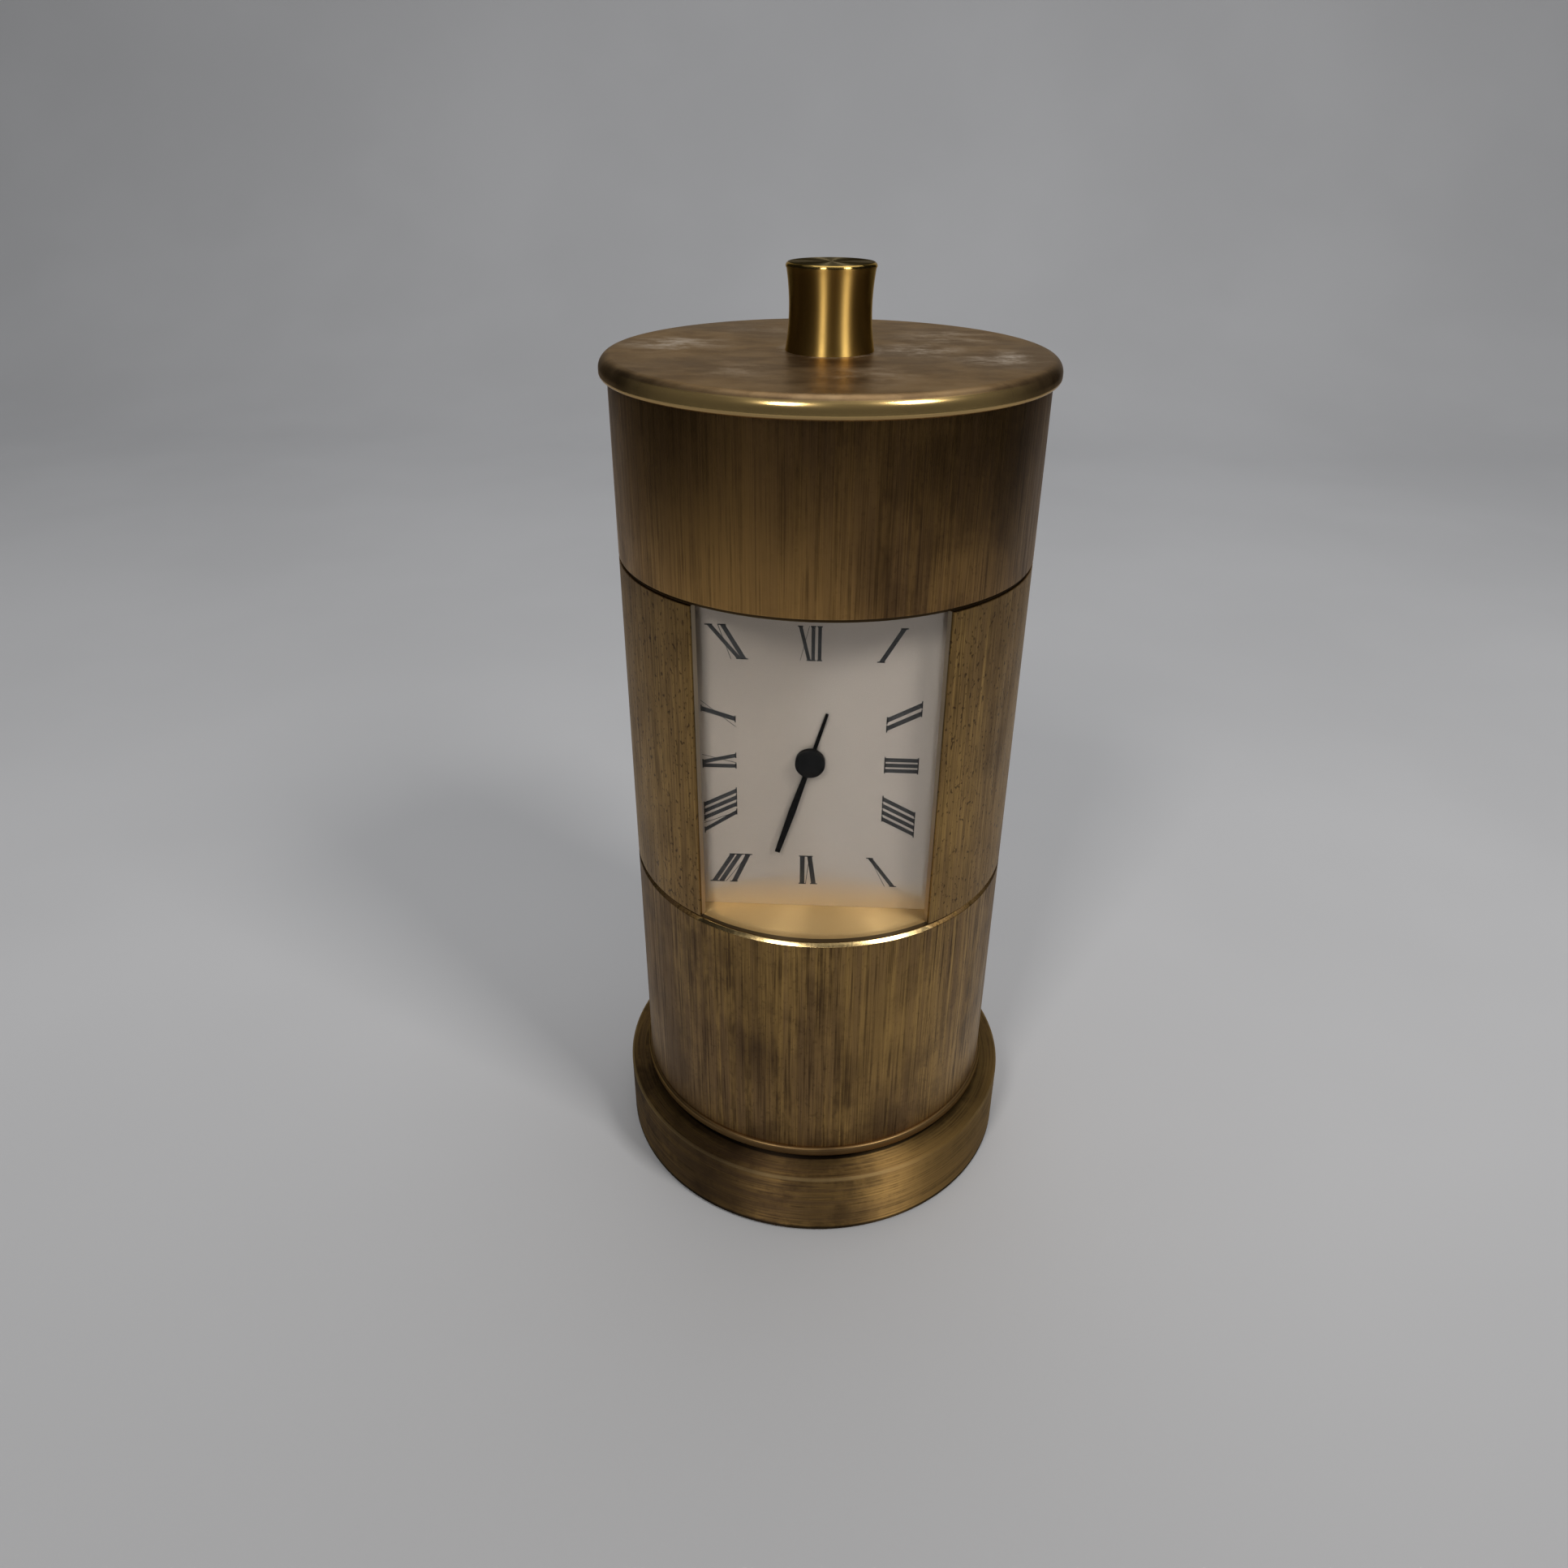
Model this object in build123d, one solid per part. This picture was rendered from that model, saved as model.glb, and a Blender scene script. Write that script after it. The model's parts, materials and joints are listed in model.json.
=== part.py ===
from build123d import *
import math
import os

os.makedirs("parts", exist_ok=True)

# Lengths in mm, angles in degrees. Z is up, the dial faces -Y, z = 0 is the table.

# Case
drum_radius = 36.0
drum_wall = 1.5
base_radius = 40.5
base_height = 14.6
base_wall = 3.0
floor_ring_width = 12.5
base_lift = 0.3
pad_thickness = 0.8
cover_thickness = 1.4
neck_height = 2.2
neck_inset = 1.2
foot_proud = 0.65
foot_height = 1.9
foot_round = 0.5
lower_drum_height = 49.6
rim_chamfer = 0.6
seam_height = 0.7
seam_depth = 0.8
spigot_depth = 2.0
window_height = 59.0
window_half_angle = 34.55
upper_drum_height = 29.0

# Lid and knob
lid_overhang = 1.3
lid_thickness = 3.4
lid_top_round = 0.5
lid_low_round = 1.4
lid_fit = 0.3
lid_ring_depth = 5.0
lid_ring_wall = 1.5
lid_ring_plate = 1.0
lid_ring_flange = 10.0
lid_screw_gap = 6.9
knob_height = 13.1
knob_top_radius = 7.35
knob_waist_radius = 6.62
knob_foot_radius = 7.22
knob_edge = 0.6
knob_screw_depth = 6.5

# Tie rods
rod_radius = 1.5
rod_circle_gap = 4.0
rod_front_angle = 60.0
rod_clearance = 0.1
nut_flats = 5.5
nut_height = 2.4
rod_end = 1.0

# Crystal, dial and hands
crystal_gap = 0.1
crystal_thickness = 1.0
crystal_half_angle = 38.5
dial_depth = 10.9
dial_thickness = 0.8
dial_side_gap = 0.35
dial_foot_radius = 1.6
dial_foot_x = 12.0
hub_x = -1.3
hub_rise = 0.5
hand_gap = 0.25
hand_thickness = 0.25
hub_radius = 2.55
cap_height = 1.0
cap_round = 0.7
hand_tip_share = 0.93
hand_belly_share = 0.45
minute_hand_length = 18.8
minute_hand_width = 0.89
minute_hand_belly = 1.15
hour_hand_length = 9.5
hour_hand_width = 0.67
hour_hand_belly = 0.63
minute_hand_angle = 197.0

# Movement
motion_space = 5.2
plate_thickness = 1.5
plate_spacing = 14.1
plate_half_width = 22.0
tab_half_width = 8.0
tab_depth = 1.0
pillar_radius = 2.2
pillar_x = 18.5
pillar_margin = 6.0
screw_radius = 1.0
screw_head_radius = 1.9
screw_head_height = 1.1
screw_length = 4.0
short_screw_length = 3.0
slot_width = 0.6
slot_depth = 0.5
arbor_radius = 0.6
bore_clearance = 0.05
cannon_pipe_radius = 0.95
hour_pipe_radius = 1.6
setting_arbor_radius = 1.2
setting_hole_gap = 0.4
setting_knob_radius = 5.0
setting_knob_gap = 0.7
setting_knob_thickness = 3.5
setting_knob_flutes = 20
flute_radius = 0.6
flute_depth = 0.4
wheel_thickness = 1.0
pinion_thickness = 1.2
minute_wheel_gap = 0.6
hour_wheel_gap = 1.4
centre_wheel_gap = 2.5
collet_radius = 2.0
arbor_end = 0.3
pressure_angle = 20.0
tooth_slack = 0.1
wheel_addendum = 0.6
pinion_addendum = 1.0
dedendum = 1.2
cannon_teeth = 12
minute_wheel_teeth = 36
minute_pinion_teeth = 10
hour_wheel_teeth = 40
centre_wheel_teeth = 75
drive_pinion_teeth = 10
motion_module = 0.6
going_module = 0.3
drive_angle = 150.0
motor_radius = 8.5
motor_length = 8.5
motor_bore_depth = 3.2
motor_bore_gap = 0.2

# Battery and board
cell_radius = 7.25
cell_length = 50.5
cell_nub_radius = 2.75
cell_nub_length = 1.2
cell_edge = 0.4
cradle_floor = 1.5
cradle_wall = 1.8
cradle_play = 0.25
cradle_side_height = 6.0
cradle_end_height = 12.0
cradle_ear_reach = 14.0
cradle_ear_half_width = 5.0
cradle_ear_margin = 0.5
contact_thickness = 0.4
contact_half_width = 4.0
lead_radius = 0.6
lead_bend = 1.2
lead_reach = 3.4
lead_spacing = 8.2
lead_board_inset = 6.0
lead_hole_gap = 0.5
board_thickness = 1.6
board_left = 4.0
board_right = 15.5
board_height = 18.0
quartz_width = 3.0
quartz_depth = 2.0
quartz_height = 8.0
quartz_inset = 1.5
chip_width = 3.5
chip_depth = 2.0
chip_height = 3.0
chip_inset = 0.5

# Heights and radii worked out from the sizes above
drum_inner = drum_radius - drum_wall
neck_radius = drum_radius - neck_inset
foot_radius = drum_radius + foot_proud
flange_radius = drum_radius - seam_depth
rod_circle = drum_inner - rod_circle_gap
lid_screw_circle = drum_inner - lid_screw_gap
floor_hole = drum_inner - floor_ring_width
base_top = base_height
foot_low = base_top + neck_height
lower_low = foot_low + foot_height
sill_low = lower_low + lower_drum_height
band_low = sill_low + seam_height
band_high = band_low + window_height
upper_low = band_high + seam_height
upper_floor = upper_low + spigot_depth
lid_low = upper_low + upper_drum_height
lid_high = lid_low + lid_thickness
knob_high = lid_high + knob_height
hub_z = (band_low + band_high) / 2 + hub_rise

# Depths along Y, from the front of the dial to the back plate
crystal_outer = drum_inner - crystal_gap
crystal_inner = crystal_outer - crystal_thickness
dial_front = -(drum_radius - dial_depth)
dial_back = dial_front + dial_thickness
front_plate_front = dial_back + motion_space
front_plate_back = front_plate_front + plate_thickness
back_plate_front = front_plate_back + plate_spacing
back_plate_back = back_plate_front + plate_thickness
dial_half_width = math.sqrt(crystal_inner**2 - dial_front**2) - dial_side_gap
hour_hand_back = dial_front - hand_gap
hour_hand_front = hour_hand_back - hand_thickness
minute_hand_back = hour_hand_front - hand_gap
minute_hand_front = minute_hand_back - hand_thickness
cap_front = minute_hand_front - cap_height

# Gear centres
minute_axis_drop = motion_module * (cannon_teeth + minute_wheel_teeth) / 2
hour_module = 2 * minute_axis_drop / (minute_pinion_teeth + hour_wheel_teeth)
minute_axis_z = hub_z - minute_axis_drop
drive_reach = going_module * (centre_wheel_teeth + drive_pinion_teeth) / 2
drive_x = hub_x + drive_reach * math.cos(math.radians(drive_angle))
drive_z = hub_z + drive_reach * math.sin(math.radians(drive_angle))

# Depths of the gear layers
minute_layer = front_plate_front - minute_wheel_gap - wheel_thickness
hour_layer = dial_back + hour_wheel_gap
centre_layer = front_plate_back + centre_wheel_gap
pinion_proud = (pinion_thickness - wheel_thickness) / 2
motor_front = back_plate_front - motor_length
hour_hand_angle = minute_hand_angle / 12

# Battery heights
cell_z = upper_floor + cradle_floor + cell_radius
cradle_inner_x = cell_length / 2 + contact_thickness
cradle_outer_x = cradle_inner_x + cradle_wall
cradle_inner_y = cell_radius + cradle_play
cradle_end_top = upper_floor + cradle_floor + cradle_end_height
lead_x = cradle_outer_x + contact_thickness + lead_bend + lead_radius
board_back = back_plate_back + board_thickness
high_lead = minute_axis_z + lead_spacing / 2
low_lead = minute_axis_z - lead_spacing / 2


def disc(radius, low, high):
    """Upright solid cylinder on the clock's axis."""
    return Pos(0, 0, low) * Cylinder(radius, high - low, align=(Align.CENTER, Align.CENTER, Align.MIN))


def tube(outer, inner, low, high):
    """Upright ring on the clock's axis."""
    return disc(outer, low, high) - disc(inner, low, high)


def post(x, y, radius, low, high):
    """Upright cylinder at x, y."""
    return Pos(x, y, 0) * disc(radius, low, high)


def shaft(x, z, radius, front, back):
    """Cylinder along Y at x, z."""
    body = Cylinder(radius, back - front, align=(Align.CENTER, Align.CENTER, Align.MIN))
    return Pos(x, front, z) * Rot(-90, 0, 0) * body


def block(left, right, front, back, low, high):
    """Box between six planes."""
    corner = (Align.MIN, Align.MIN, Align.MIN)
    return Pos(left, front, low) * Box(right - left, back - front, high - low, align=corner)


def round_place(radius, angle):
    """Point on a circle round the clock's axis, the angle counted from the dial towards +X."""
    turn = math.radians(angle)
    return radius * math.sin(turn), -radius * math.cos(turn)


def rod_places():
    """Centres of the four tie rods."""
    angles = (rod_front_angle, 180 - rod_front_angle, 180 + rod_front_angle, 360 - rod_front_angle)
    return [round_place(rod_circle, angle) for angle in angles]


def cover_screw_places():
    """Centres of the screws under the base."""
    return [round_place(rod_circle, 90 * step) for step in range(4)]


def lid_screw_places():
    """Centres of the screws of the lid's locating ring."""
    return [round_place(lid_screw_circle, 120 * step) for step in range(3)]


def plate_corners(x, margin):
    """Four points x, z mirrored about the hands' axis, a margin inside the band's ends."""
    return [(side * x, z) for side in (-1, 1) for z in (band_low + margin, band_high - margin)]


def slotted_head(radius, height):
    """Cheese head with a screwdriver slot, its seat at z = 0 and its top up."""
    head = Cylinder(radius, height, align=(Align.CENTER, Align.CENTER, Align.MIN))
    slot = Box(2 * radius, slot_width, slot_depth, align=(Align.CENTER, Align.CENTER, Align.MAX))
    return head - Pos(0, 0, height) * slot


def screw(length, radius=screw_radius, head_radius=screw_head_radius, head_height=screw_head_height):
    """Screw with its seat at z = 0, head up and shank down."""
    shank = Cylinder(radius, length, align=(Align.CENTER, Align.CENTER, Align.MAX))
    return slotted_head(head_radius, head_height) + shank


def polar(radius, turn):
    """Point at a radius and an angle in radians."""
    return radius * math.cos(turn), radius * math.sin(turn)


def gear(module, teeth, addendum, bore, thickness, turn=0.0):
    """Spur gear with involute flanks, its first tooth turned by an angle in degrees, lying on z = 0."""
    pitch = module * teeth / 2
    base = pitch * math.cos(math.radians(pressure_angle))
    tip = pitch + addendum * module
    root = pitch - dedendum * module
    start = max(base, root)
    middle = (start + tip) / 2

    def involute(radius):
        slope = math.acos(min(1.0, base / radius))
        return math.tan(slope) - slope

    half_tooth = math.pi / (2 * teeth) - tooth_slack * module / pitch

    def half_at(radius):
        return half_tooth + involute(pitch) - involute(radius)

    edges = []
    step = 2 * math.pi / teeth
    first = math.radians(turn)
    for index in range(teeth):
        centre = first + index * step
        rising = [polar(radius, centre - half_at(radius)) for radius in (start, middle, tip)]
        falling = [polar(radius, centre + half_at(radius)) for radius in (tip, middle, start)]
        root_in = polar(root, centre - half_at(start))
        root_out = polar(root, centre + half_at(start))
        root_next = polar(root, centre + step - half_at(start))
        if start > root:
            edges.append(Edge.make_line(root_in, rising[0]))
            edges.append(Edge.make_line(falling[2], root_out))
        edges.append(Edge.make_three_point_arc(*rising))
        edges.append(Edge.make_line(rising[2], falling[0]))
        edges.append(Edge.make_three_point_arc(*falling))
        edges.append(Edge.make_line(root_out, root_next))
    outline = Face(Wire(edges)) - Circle(bore)
    return extrude(outline, thickness)


def facing(x, front, z):
    """Place for a flat piece: its z runs along +Y from front, its x stays, its y points down."""
    return Pos(x, front, z) * Rot(-90, 0, 0)


def make_base_pad():
    return disc(base_radius - base_wall, 0, pad_thickness)


def make_base_cover():
    cover = disc(base_radius - base_wall, pad_thickness, pad_thickness + cover_thickness)
    for x, y in cover_screw_places():
        cover -= post(x, y, screw_head_radius, pad_thickness, pad_thickness + screw_head_height)
        cover -= post(x, y, screw_radius, pad_thickness, pad_thickness + cover_thickness)
    return cover


def make_cover_screws():
    seat = pad_thickness + screw_head_height
    return Compound([Pos(x, y, seat) * Rot(180, 0, 0) * screw(screw_length) for x, y in cover_screw_places()])


def make_base_plinth():
    inner = base_radius - base_wall
    shelf = base_top - base_wall
    cover_top = pad_thickness + cover_thickness
    body = disc(base_radius, base_lift, base_top) + disc(neck_radius, base_top, foot_low)
    body -= disc(inner, base_lift, cover_top)
    body -= disc(inner, cover_top, shelf)
    body -= disc(floor_hole, shelf, foot_low)
    for x, y in cover_screw_places():
        body += post(x, y, 2 * screw_head_radius, cover_top, shelf)
        body -= post(x, y, screw_radius, cover_top, pad_thickness + screw_head_height + screw_length)
    for x, y in rod_places():
        body -= post(x, y, rod_radius + rod_clearance, shelf, foot_low)
    return body


def make_foot_ring():
    ring = tube(foot_radius, floor_hole, foot_low, lower_low)
    outer = ring.edges().filter_by(GeomType.CIRCLE).group_by(SortBy.RADIUS)[-1]
    ring = fillet(outer, foot_round)
    ring += tube(drum_inner, drum_inner - drum_wall, lower_low, lower_low + spigot_depth)
    for x, y in rod_places():
        ring -= post(x, y, rod_radius + rod_clearance, foot_low, lower_low)
    return ring


def make_lower_drum():
    drum = tube(drum_radius, drum_inner, lower_low, sill_low)
    top = drum.edges().filter_by(GeomType.CIRCLE).group_by(Axis.Z)[-1].sort_by(SortBy.RADIUS)[-1]
    return chamfer(top, rim_chamfer)


def cut_deck_holes(deck, low, high, slot_low):
    """Tie-rod holes and the slots that take the movement plates' tabs."""
    for x, y in rod_places():
        deck -= post(x, y, rod_radius + rod_clearance, low, high)
    for front, back in ((front_plate_front, front_plate_back), (back_plate_front, back_plate_back)):
        deck -= block(-tab_half_width, tab_half_width, front, back, slot_low, slot_low + tab_depth)
    return deck


def make_lower_deck():
    deck = disc(flange_radius, sill_low, band_low) + disc(drum_inner, sill_low - spigot_depth, sill_low)
    return cut_deck_holes(deck, sill_low - spigot_depth, band_low, band_low - tab_depth)


def make_upper_deck():
    deck = disc(flange_radius, band_high, upper_low) + disc(drum_inner, upper_low, upper_floor)
    deck = cut_deck_holes(deck, band_high, upper_floor, band_high)
    for side, drop in ((1, high_lead), (-1, low_lead)):
        x, y = lead_place(side, drop, (band_high + upper_floor) / 2)
        deck -= post(x, y, lead_radius + lead_hole_gap, band_high, upper_floor)
    for x, y in cradle_screw_places():
        deck -= post(x, y, screw_radius, upper_floor + cradle_floor - short_screw_length, upper_floor)
    return deck


def wedge(half_angle, reach, low, high):
    """Upright wedge that opens towards the dial side."""
    left = round_place(reach, -half_angle)
    right = round_place(reach, half_angle)
    corner = Polyline((0, 0), left, right, close=True)
    return Pos(0, 0, low) * extrude(make_face(corner), high - low)


def make_middle_band():
    band = tube(drum_radius, drum_inner, band_low, band_high)
    band -= wedge(window_half_angle, 2 * drum_radius, band_low, band_high)
    band -= shaft(hub_x, minute_axis_z, setting_arbor_radius + setting_hole_gap, 0, 2 * drum_radius)
    return band


def make_upper_drum():
    return tube(drum_radius, drum_inner, upper_low, lid_low)


def make_tie_rods():
    low = base_top - base_wall - nut_height - rod_end
    high = upper_floor + nut_height + rod_end
    return Compound([post(x, y, rod_radius, low, high) for x, y in rod_places()])


def make_tie_rod_nuts():
    corner = nut_flats / 2 / math.cos(math.radians(30))
    nut = extrude(RegularPolygon(corner, 6) - Circle(rod_radius), nut_height)
    under = base_top - base_wall - nut_height
    return Compound([Pos(x, y, z) * nut for x, y in rod_places() for z in (under, upper_floor)])


def make_crystal():
    ring = tube(crystal_outer, crystal_inner, band_low, band_high)
    return ring & wedge(crystal_half_angle, 2 * drum_radius, band_low, band_high)


def make_dial_plate():
    plate = block(-dial_half_width, dial_half_width, dial_front, dial_back, band_low, band_high)
    return plate - shaft(hub_x, hub_z, hour_pipe_radius + setting_hole_gap, dial_front, dial_back)


def make_dial_feet():
    feet = []
    for x, z in plate_corners(dial_foot_x, pillar_margin - screw_head_radius):
        foot = shaft(x, z, dial_foot_radius, dial_back, front_plate_front)
        feet.append(foot - shaft(x, z, screw_radius, front_plate_back - screw_length, front_plate_front))
    return Compound(feet)


def make_dial_screws():
    places = plate_corners(dial_foot_x, pillar_margin - screw_head_radius)
    return Compound([facing(x, front_plate_back, z) * screw(screw_length) for x, z in places])


def make_plate(front, back):
    """Movement plate with its tabs, pillar screw holes and the bores of both arbors."""
    plate = block(-plate_half_width, plate_half_width, front, back, band_low, band_high)
    plate += block(-tab_half_width, tab_half_width, front, back, band_low - tab_depth, band_high + tab_depth)
    for x, z in plate_corners(pillar_x, pillar_margin):
        plate -= shaft(x, z, screw_radius, front, back)
    plate -= shaft(hub_x, hub_z, arbor_radius + bore_clearance, front, back)
    plate -= shaft(hub_x, minute_axis_z, setting_arbor_radius + bore_clearance, front, back)
    return plate


def make_front_plate():
    plate = make_plate(front_plate_front, front_plate_back)
    for x, z in plate_corners(dial_foot_x, pillar_margin - screw_head_radius):
        plate -= shaft(x, z, screw_radius, front_plate_front, front_plate_back)
    return plate - shaft(drive_x, drive_z, arbor_radius + bore_clearance, front_plate_front, front_plate_back)


def board_screw_places():
    """Centres x, z of the circuit board's screws."""
    low, high = board_span()
    inset = 2 * screw_radius
    return [(board_left + inset, high - inset), (board_right - inset, low + inset)]


def make_back_plate():
    plate = make_plate(back_plate_front, back_plate_back)
    for x, z in board_screw_places():
        plate -= shaft(x, z, screw_radius, back_plate_front, back_plate_back)
    return plate


def make_pillars():
    pillars = []
    for x, z in plate_corners(pillar_x, pillar_margin):
        pillar = shaft(x, z, pillar_radius, front_plate_back, back_plate_front)
        reach = screw_length - plate_thickness
        pillar -= shaft(x, z, screw_radius, front_plate_back, front_plate_back + reach)
        pillars.append(pillar - shaft(x, z, screw_radius, back_plate_front - reach, back_plate_front))
    return Compound(pillars)


def make_pillar_screws():
    screws = []
    for x, z in plate_corners(pillar_x, pillar_margin):
        screws.append(Pos(x, front_plate_front, z) * Rot(90, 0, 0) * screw(screw_length))
        screws.append(facing(x, back_plate_back, z) * screw(screw_length))
    return Compound(screws)


def make_centre_arbor():
    return shaft(hub_x, hub_z, arbor_radius, cap_front + cap_height / 2, back_plate_back + rod_end)


def make_centre_wheel():
    turn = -drive_angle + 180 / centre_wheel_teeth
    wheel = gear(going_module, centre_wheel_teeth, wheel_addendum, arbor_radius, wheel_thickness, turn)
    front = centre_layer + wheel_thickness
    back = front + wheel_thickness
    collet = shaft(hub_x, hub_z, collet_radius, front, back)
    collet -= shaft(hub_x, hub_z, arbor_radius, front, back)
    return facing(hub_x, centre_layer, hub_z) * wheel + collet


def make_cannon_pinion():
    front = minute_layer - pinion_proud
    pinion = gear(motion_module, cannon_teeth, pinion_addendum, arbor_radius, pinion_thickness, 90)
    pipe = shaft(hub_x, hub_z, cannon_pipe_radius, minute_hand_front, front)
    pipe -= shaft(hub_x, hub_z, arbor_radius, minute_hand_front, front)
    return facing(hub_x, front, hub_z) * pinion + pipe


def make_hour_wheel():
    turn = 90 + 180 / hour_wheel_teeth
    bore = cannon_pipe_radius + bore_clearance
    wheel = gear(hour_module, hour_wheel_teeth, wheel_addendum, bore, wheel_thickness, turn)
    pipe = shaft(hub_x, hub_z, hour_pipe_radius, hour_hand_front, hour_layer)
    pipe -= shaft(hub_x, hub_z, bore, hour_hand_front, hour_layer)
    return facing(hub_x, hour_layer, hub_z) * wheel + pipe


def make_minute_wheel():
    turn = -90 + 180 / minute_wheel_teeth
    bore = setting_arbor_radius
    wheel = gear(motion_module, minute_wheel_teeth, wheel_addendum, bore, wheel_thickness, turn)
    return facing(hub_x, minute_layer, minute_axis_z) * wheel


def make_minute_pinion():
    bore = setting_arbor_radius
    pinion = gear(hour_module, minute_pinion_teeth, pinion_addendum, bore, pinion_thickness, -90)
    return facing(hub_x, hour_layer - pinion_proud, minute_axis_z) * pinion


def make_setting_arbor():
    knob_back = drum_radius + setting_knob_gap + setting_knob_thickness
    front = hour_layer - pinion_proud - arbor_end
    return shaft(hub_x, minute_axis_z, setting_arbor_radius, front, knob_back - rod_end)


def make_setting_knob():
    front = drum_radius + setting_knob_gap
    back = front + setting_knob_thickness
    standing = (Align.CENTER, Align.CENTER, Align.MIN)
    knob = Cylinder(setting_knob_radius, setting_knob_thickness, align=standing)
    knob = chamfer(knob.edges().filter_by(GeomType.CIRCLE), knob_edge)
    flute = Cylinder(flute_radius, setting_knob_thickness, align=standing)
    for place in PolarLocations(setting_knob_radius + flute_radius - flute_depth, setting_knob_flutes):
        knob -= place * flute
    knob = facing(hub_x, front, minute_axis_z) * knob
    return knob - shaft(hub_x, minute_axis_z, setting_arbor_radius, front, back - rod_end)


def make_drive_pinion():
    front = centre_layer - pinion_proud
    bore = arbor_radius / 2
    turn = 180 - drive_angle
    pinion = gear(going_module, drive_pinion_teeth, pinion_addendum, bore, pinion_thickness, turn)
    pinion = facing(drive_x, front, drive_z) * pinion
    end = motor_front + motor_bore_depth - motor_bore_gap
    return pinion + shaft(drive_x, drive_z, arbor_radius, front_plate_front + motor_bore_gap, end)


def make_motor_unit():
    can = shaft(drive_x, drive_z, motor_radius, motor_front, back_plate_front)
    can = chamfer(can.edges().filter_by(GeomType.CIRCLE).sort_by(Axis.Y)[0], knob_edge)
    bore = arbor_radius + bore_clearance
    return can - shaft(drive_x, drive_z, bore, motor_front, motor_front + motor_bore_depth)


def board_span():
    """Lower and upper edge of the circuit board."""
    return minute_axis_z - board_height / 2, minute_axis_z + board_height / 2


def make_circuit_board():
    low, high = board_span()
    board = block(board_left, board_right, back_plate_back, board_back, low, high)
    for x, z in board_screw_places():
        board -= shaft(x, z, screw_radius, back_plate_back, board_back)
    return board


def make_board_screws():
    length = board_thickness + plate_thickness
    return Compound([facing(x, board_back, z) * screw(length) for x, z in board_screw_places()])


def make_quartz_can():
    can = Box(quartz_width, quartz_depth, quartz_height, align=(Align.MAX, Align.MIN, Align.CENTER))
    return Pos(board_right - quartz_inset, board_back, minute_axis_z) * can


def make_driver_chip():
    left = board_left + chip_inset
    low = board_span()[0] + chip_inset
    return block(left, left + chip_width, board_back, board_back + chip_depth, low, low + chip_height)


def cradle_screw_places():
    """Centres of the battery cradle's screws."""
    return [(0, side * (cradle_ear_reach - screw_head_radius - cradle_ear_margin)) for side in (-1, 1)]


def make_battery_cradle():
    floor = upper_floor + cradle_floor
    outer_y = cradle_inner_y + cradle_wall
    cradle = block(-cradle_outer_x, cradle_outer_x, -outer_y, outer_y, upper_floor, cradle_end_top)
    cradle -= block(-cradle_inner_x, cradle_inner_x, -cradle_inner_y, cradle_inner_y, floor, cradle_end_top)
    side_top = floor + cradle_side_height
    cradle -= block(-cradle_inner_x, cradle_inner_x, -outer_y, outer_y, side_top, cradle_end_top)
    ear = cradle_ear_half_width
    ears = block(-ear, ear, -cradle_ear_reach, cradle_ear_reach, upper_floor, floor)
    cradle += ears
    for x, y in cradle_screw_places():
        cradle -= post(x, y, screw_radius, upper_floor, floor)
    return cradle


def make_cradle_screws():
    floor = upper_floor + cradle_floor
    return Compound([Pos(x, y, floor) * screw(short_screw_length) for x, y in cradle_screw_places()])


def make_battery_cell():
    can = cell_length - cell_nub_length
    low = (Align.CENTER, Align.CENTER, Align.MIN)
    body = Cylinder(cell_radius, can, align=low)
    body = chamfer(body.edges().filter_by(GeomType.CIRCLE), cell_edge)
    body += Pos(0, 0, can) * Cylinder(cell_nub_radius, cell_nub_length, align=low)
    return Pos(-cell_length / 2, 0, cell_z) * Rot(0, 90, 0) * body


def make_contact(side):
    """Strip hooked over a cradle end: one leaf on the cell, one outside for the lead."""
    inner = cell_length / 2
    outer = cradle_outer_x + contact_thickness
    top = cradle_end_top + contact_thickness
    half = contact_half_width
    strip = block(inner, outer, -half, half, cell_z - cell_nub_radius, top)
    strip -= block(cradle_inner_x, cradle_outer_x, -half, half, cell_z - cell_nub_radius, cradle_end_top)
    if side < 0:
        return Rot(0, 0, 180) * strip
    return strip


def lead_place(side, drop, z):
    """Point x, y where a lead's long run, from its contact to the back of the board, passes a height."""
    share = (cell_z - z) / (cell_z - drop)
    x = lead_x + share * (plate_half_width - lead_x)
    return side * x, share * (board_back + lead_reach)


def make_lead(side, drop):
    """Insulated lead from a contact down through the upper deck to the circuit board."""
    end_x = board_left + lead_board_inset
    route = FilletPolyline(
        (side * (cradle_outer_x + contact_thickness), 0, cell_z),
        (side * lead_x, 0, cell_z),
        (*lead_place(side, drop, drop), drop),
        (end_x, board_back + lead_reach, drop),
        (end_x, board_back, drop),
        radius=lead_bend,
    )
    section = Plane(route @ 0, z_dir=route % 0) * Circle(lead_radius)
    return sweep(section, path=route)


def hand(length, width, belly, bore, angle, front):
    """Slim hand with a belly and a round boss, turned clockwise from twelve as seen from the front."""
    tip = width * hand_tip_share
    middle = hub_radius + hand_belly_share * (length - hub_radius)
    right = [(width / 2, 0), (width / 2, -hub_radius), (belly / 2, -middle), (tip / 2, -length)]
    left = [(-x, y) for x, y in reversed(right)]
    arm = Polyline(*right, *left, close=True)
    flat = make_face(arm) + Circle(hub_radius) - Circle(bore)
    return facing(hub_x, front, hub_z) * Rot(0, 0, angle) * extrude(flat, hand_thickness)


def make_hour_hand():
    size = (hour_hand_length, hour_hand_width, hour_hand_belly)
    return hand(*size, hour_pipe_radius, hour_hand_angle, hour_hand_front)


def make_minute_hand():
    size = (minute_hand_length, minute_hand_width, minute_hand_belly)
    return hand(*size, cannon_pipe_radius, minute_hand_angle, minute_hand_front)


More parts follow.
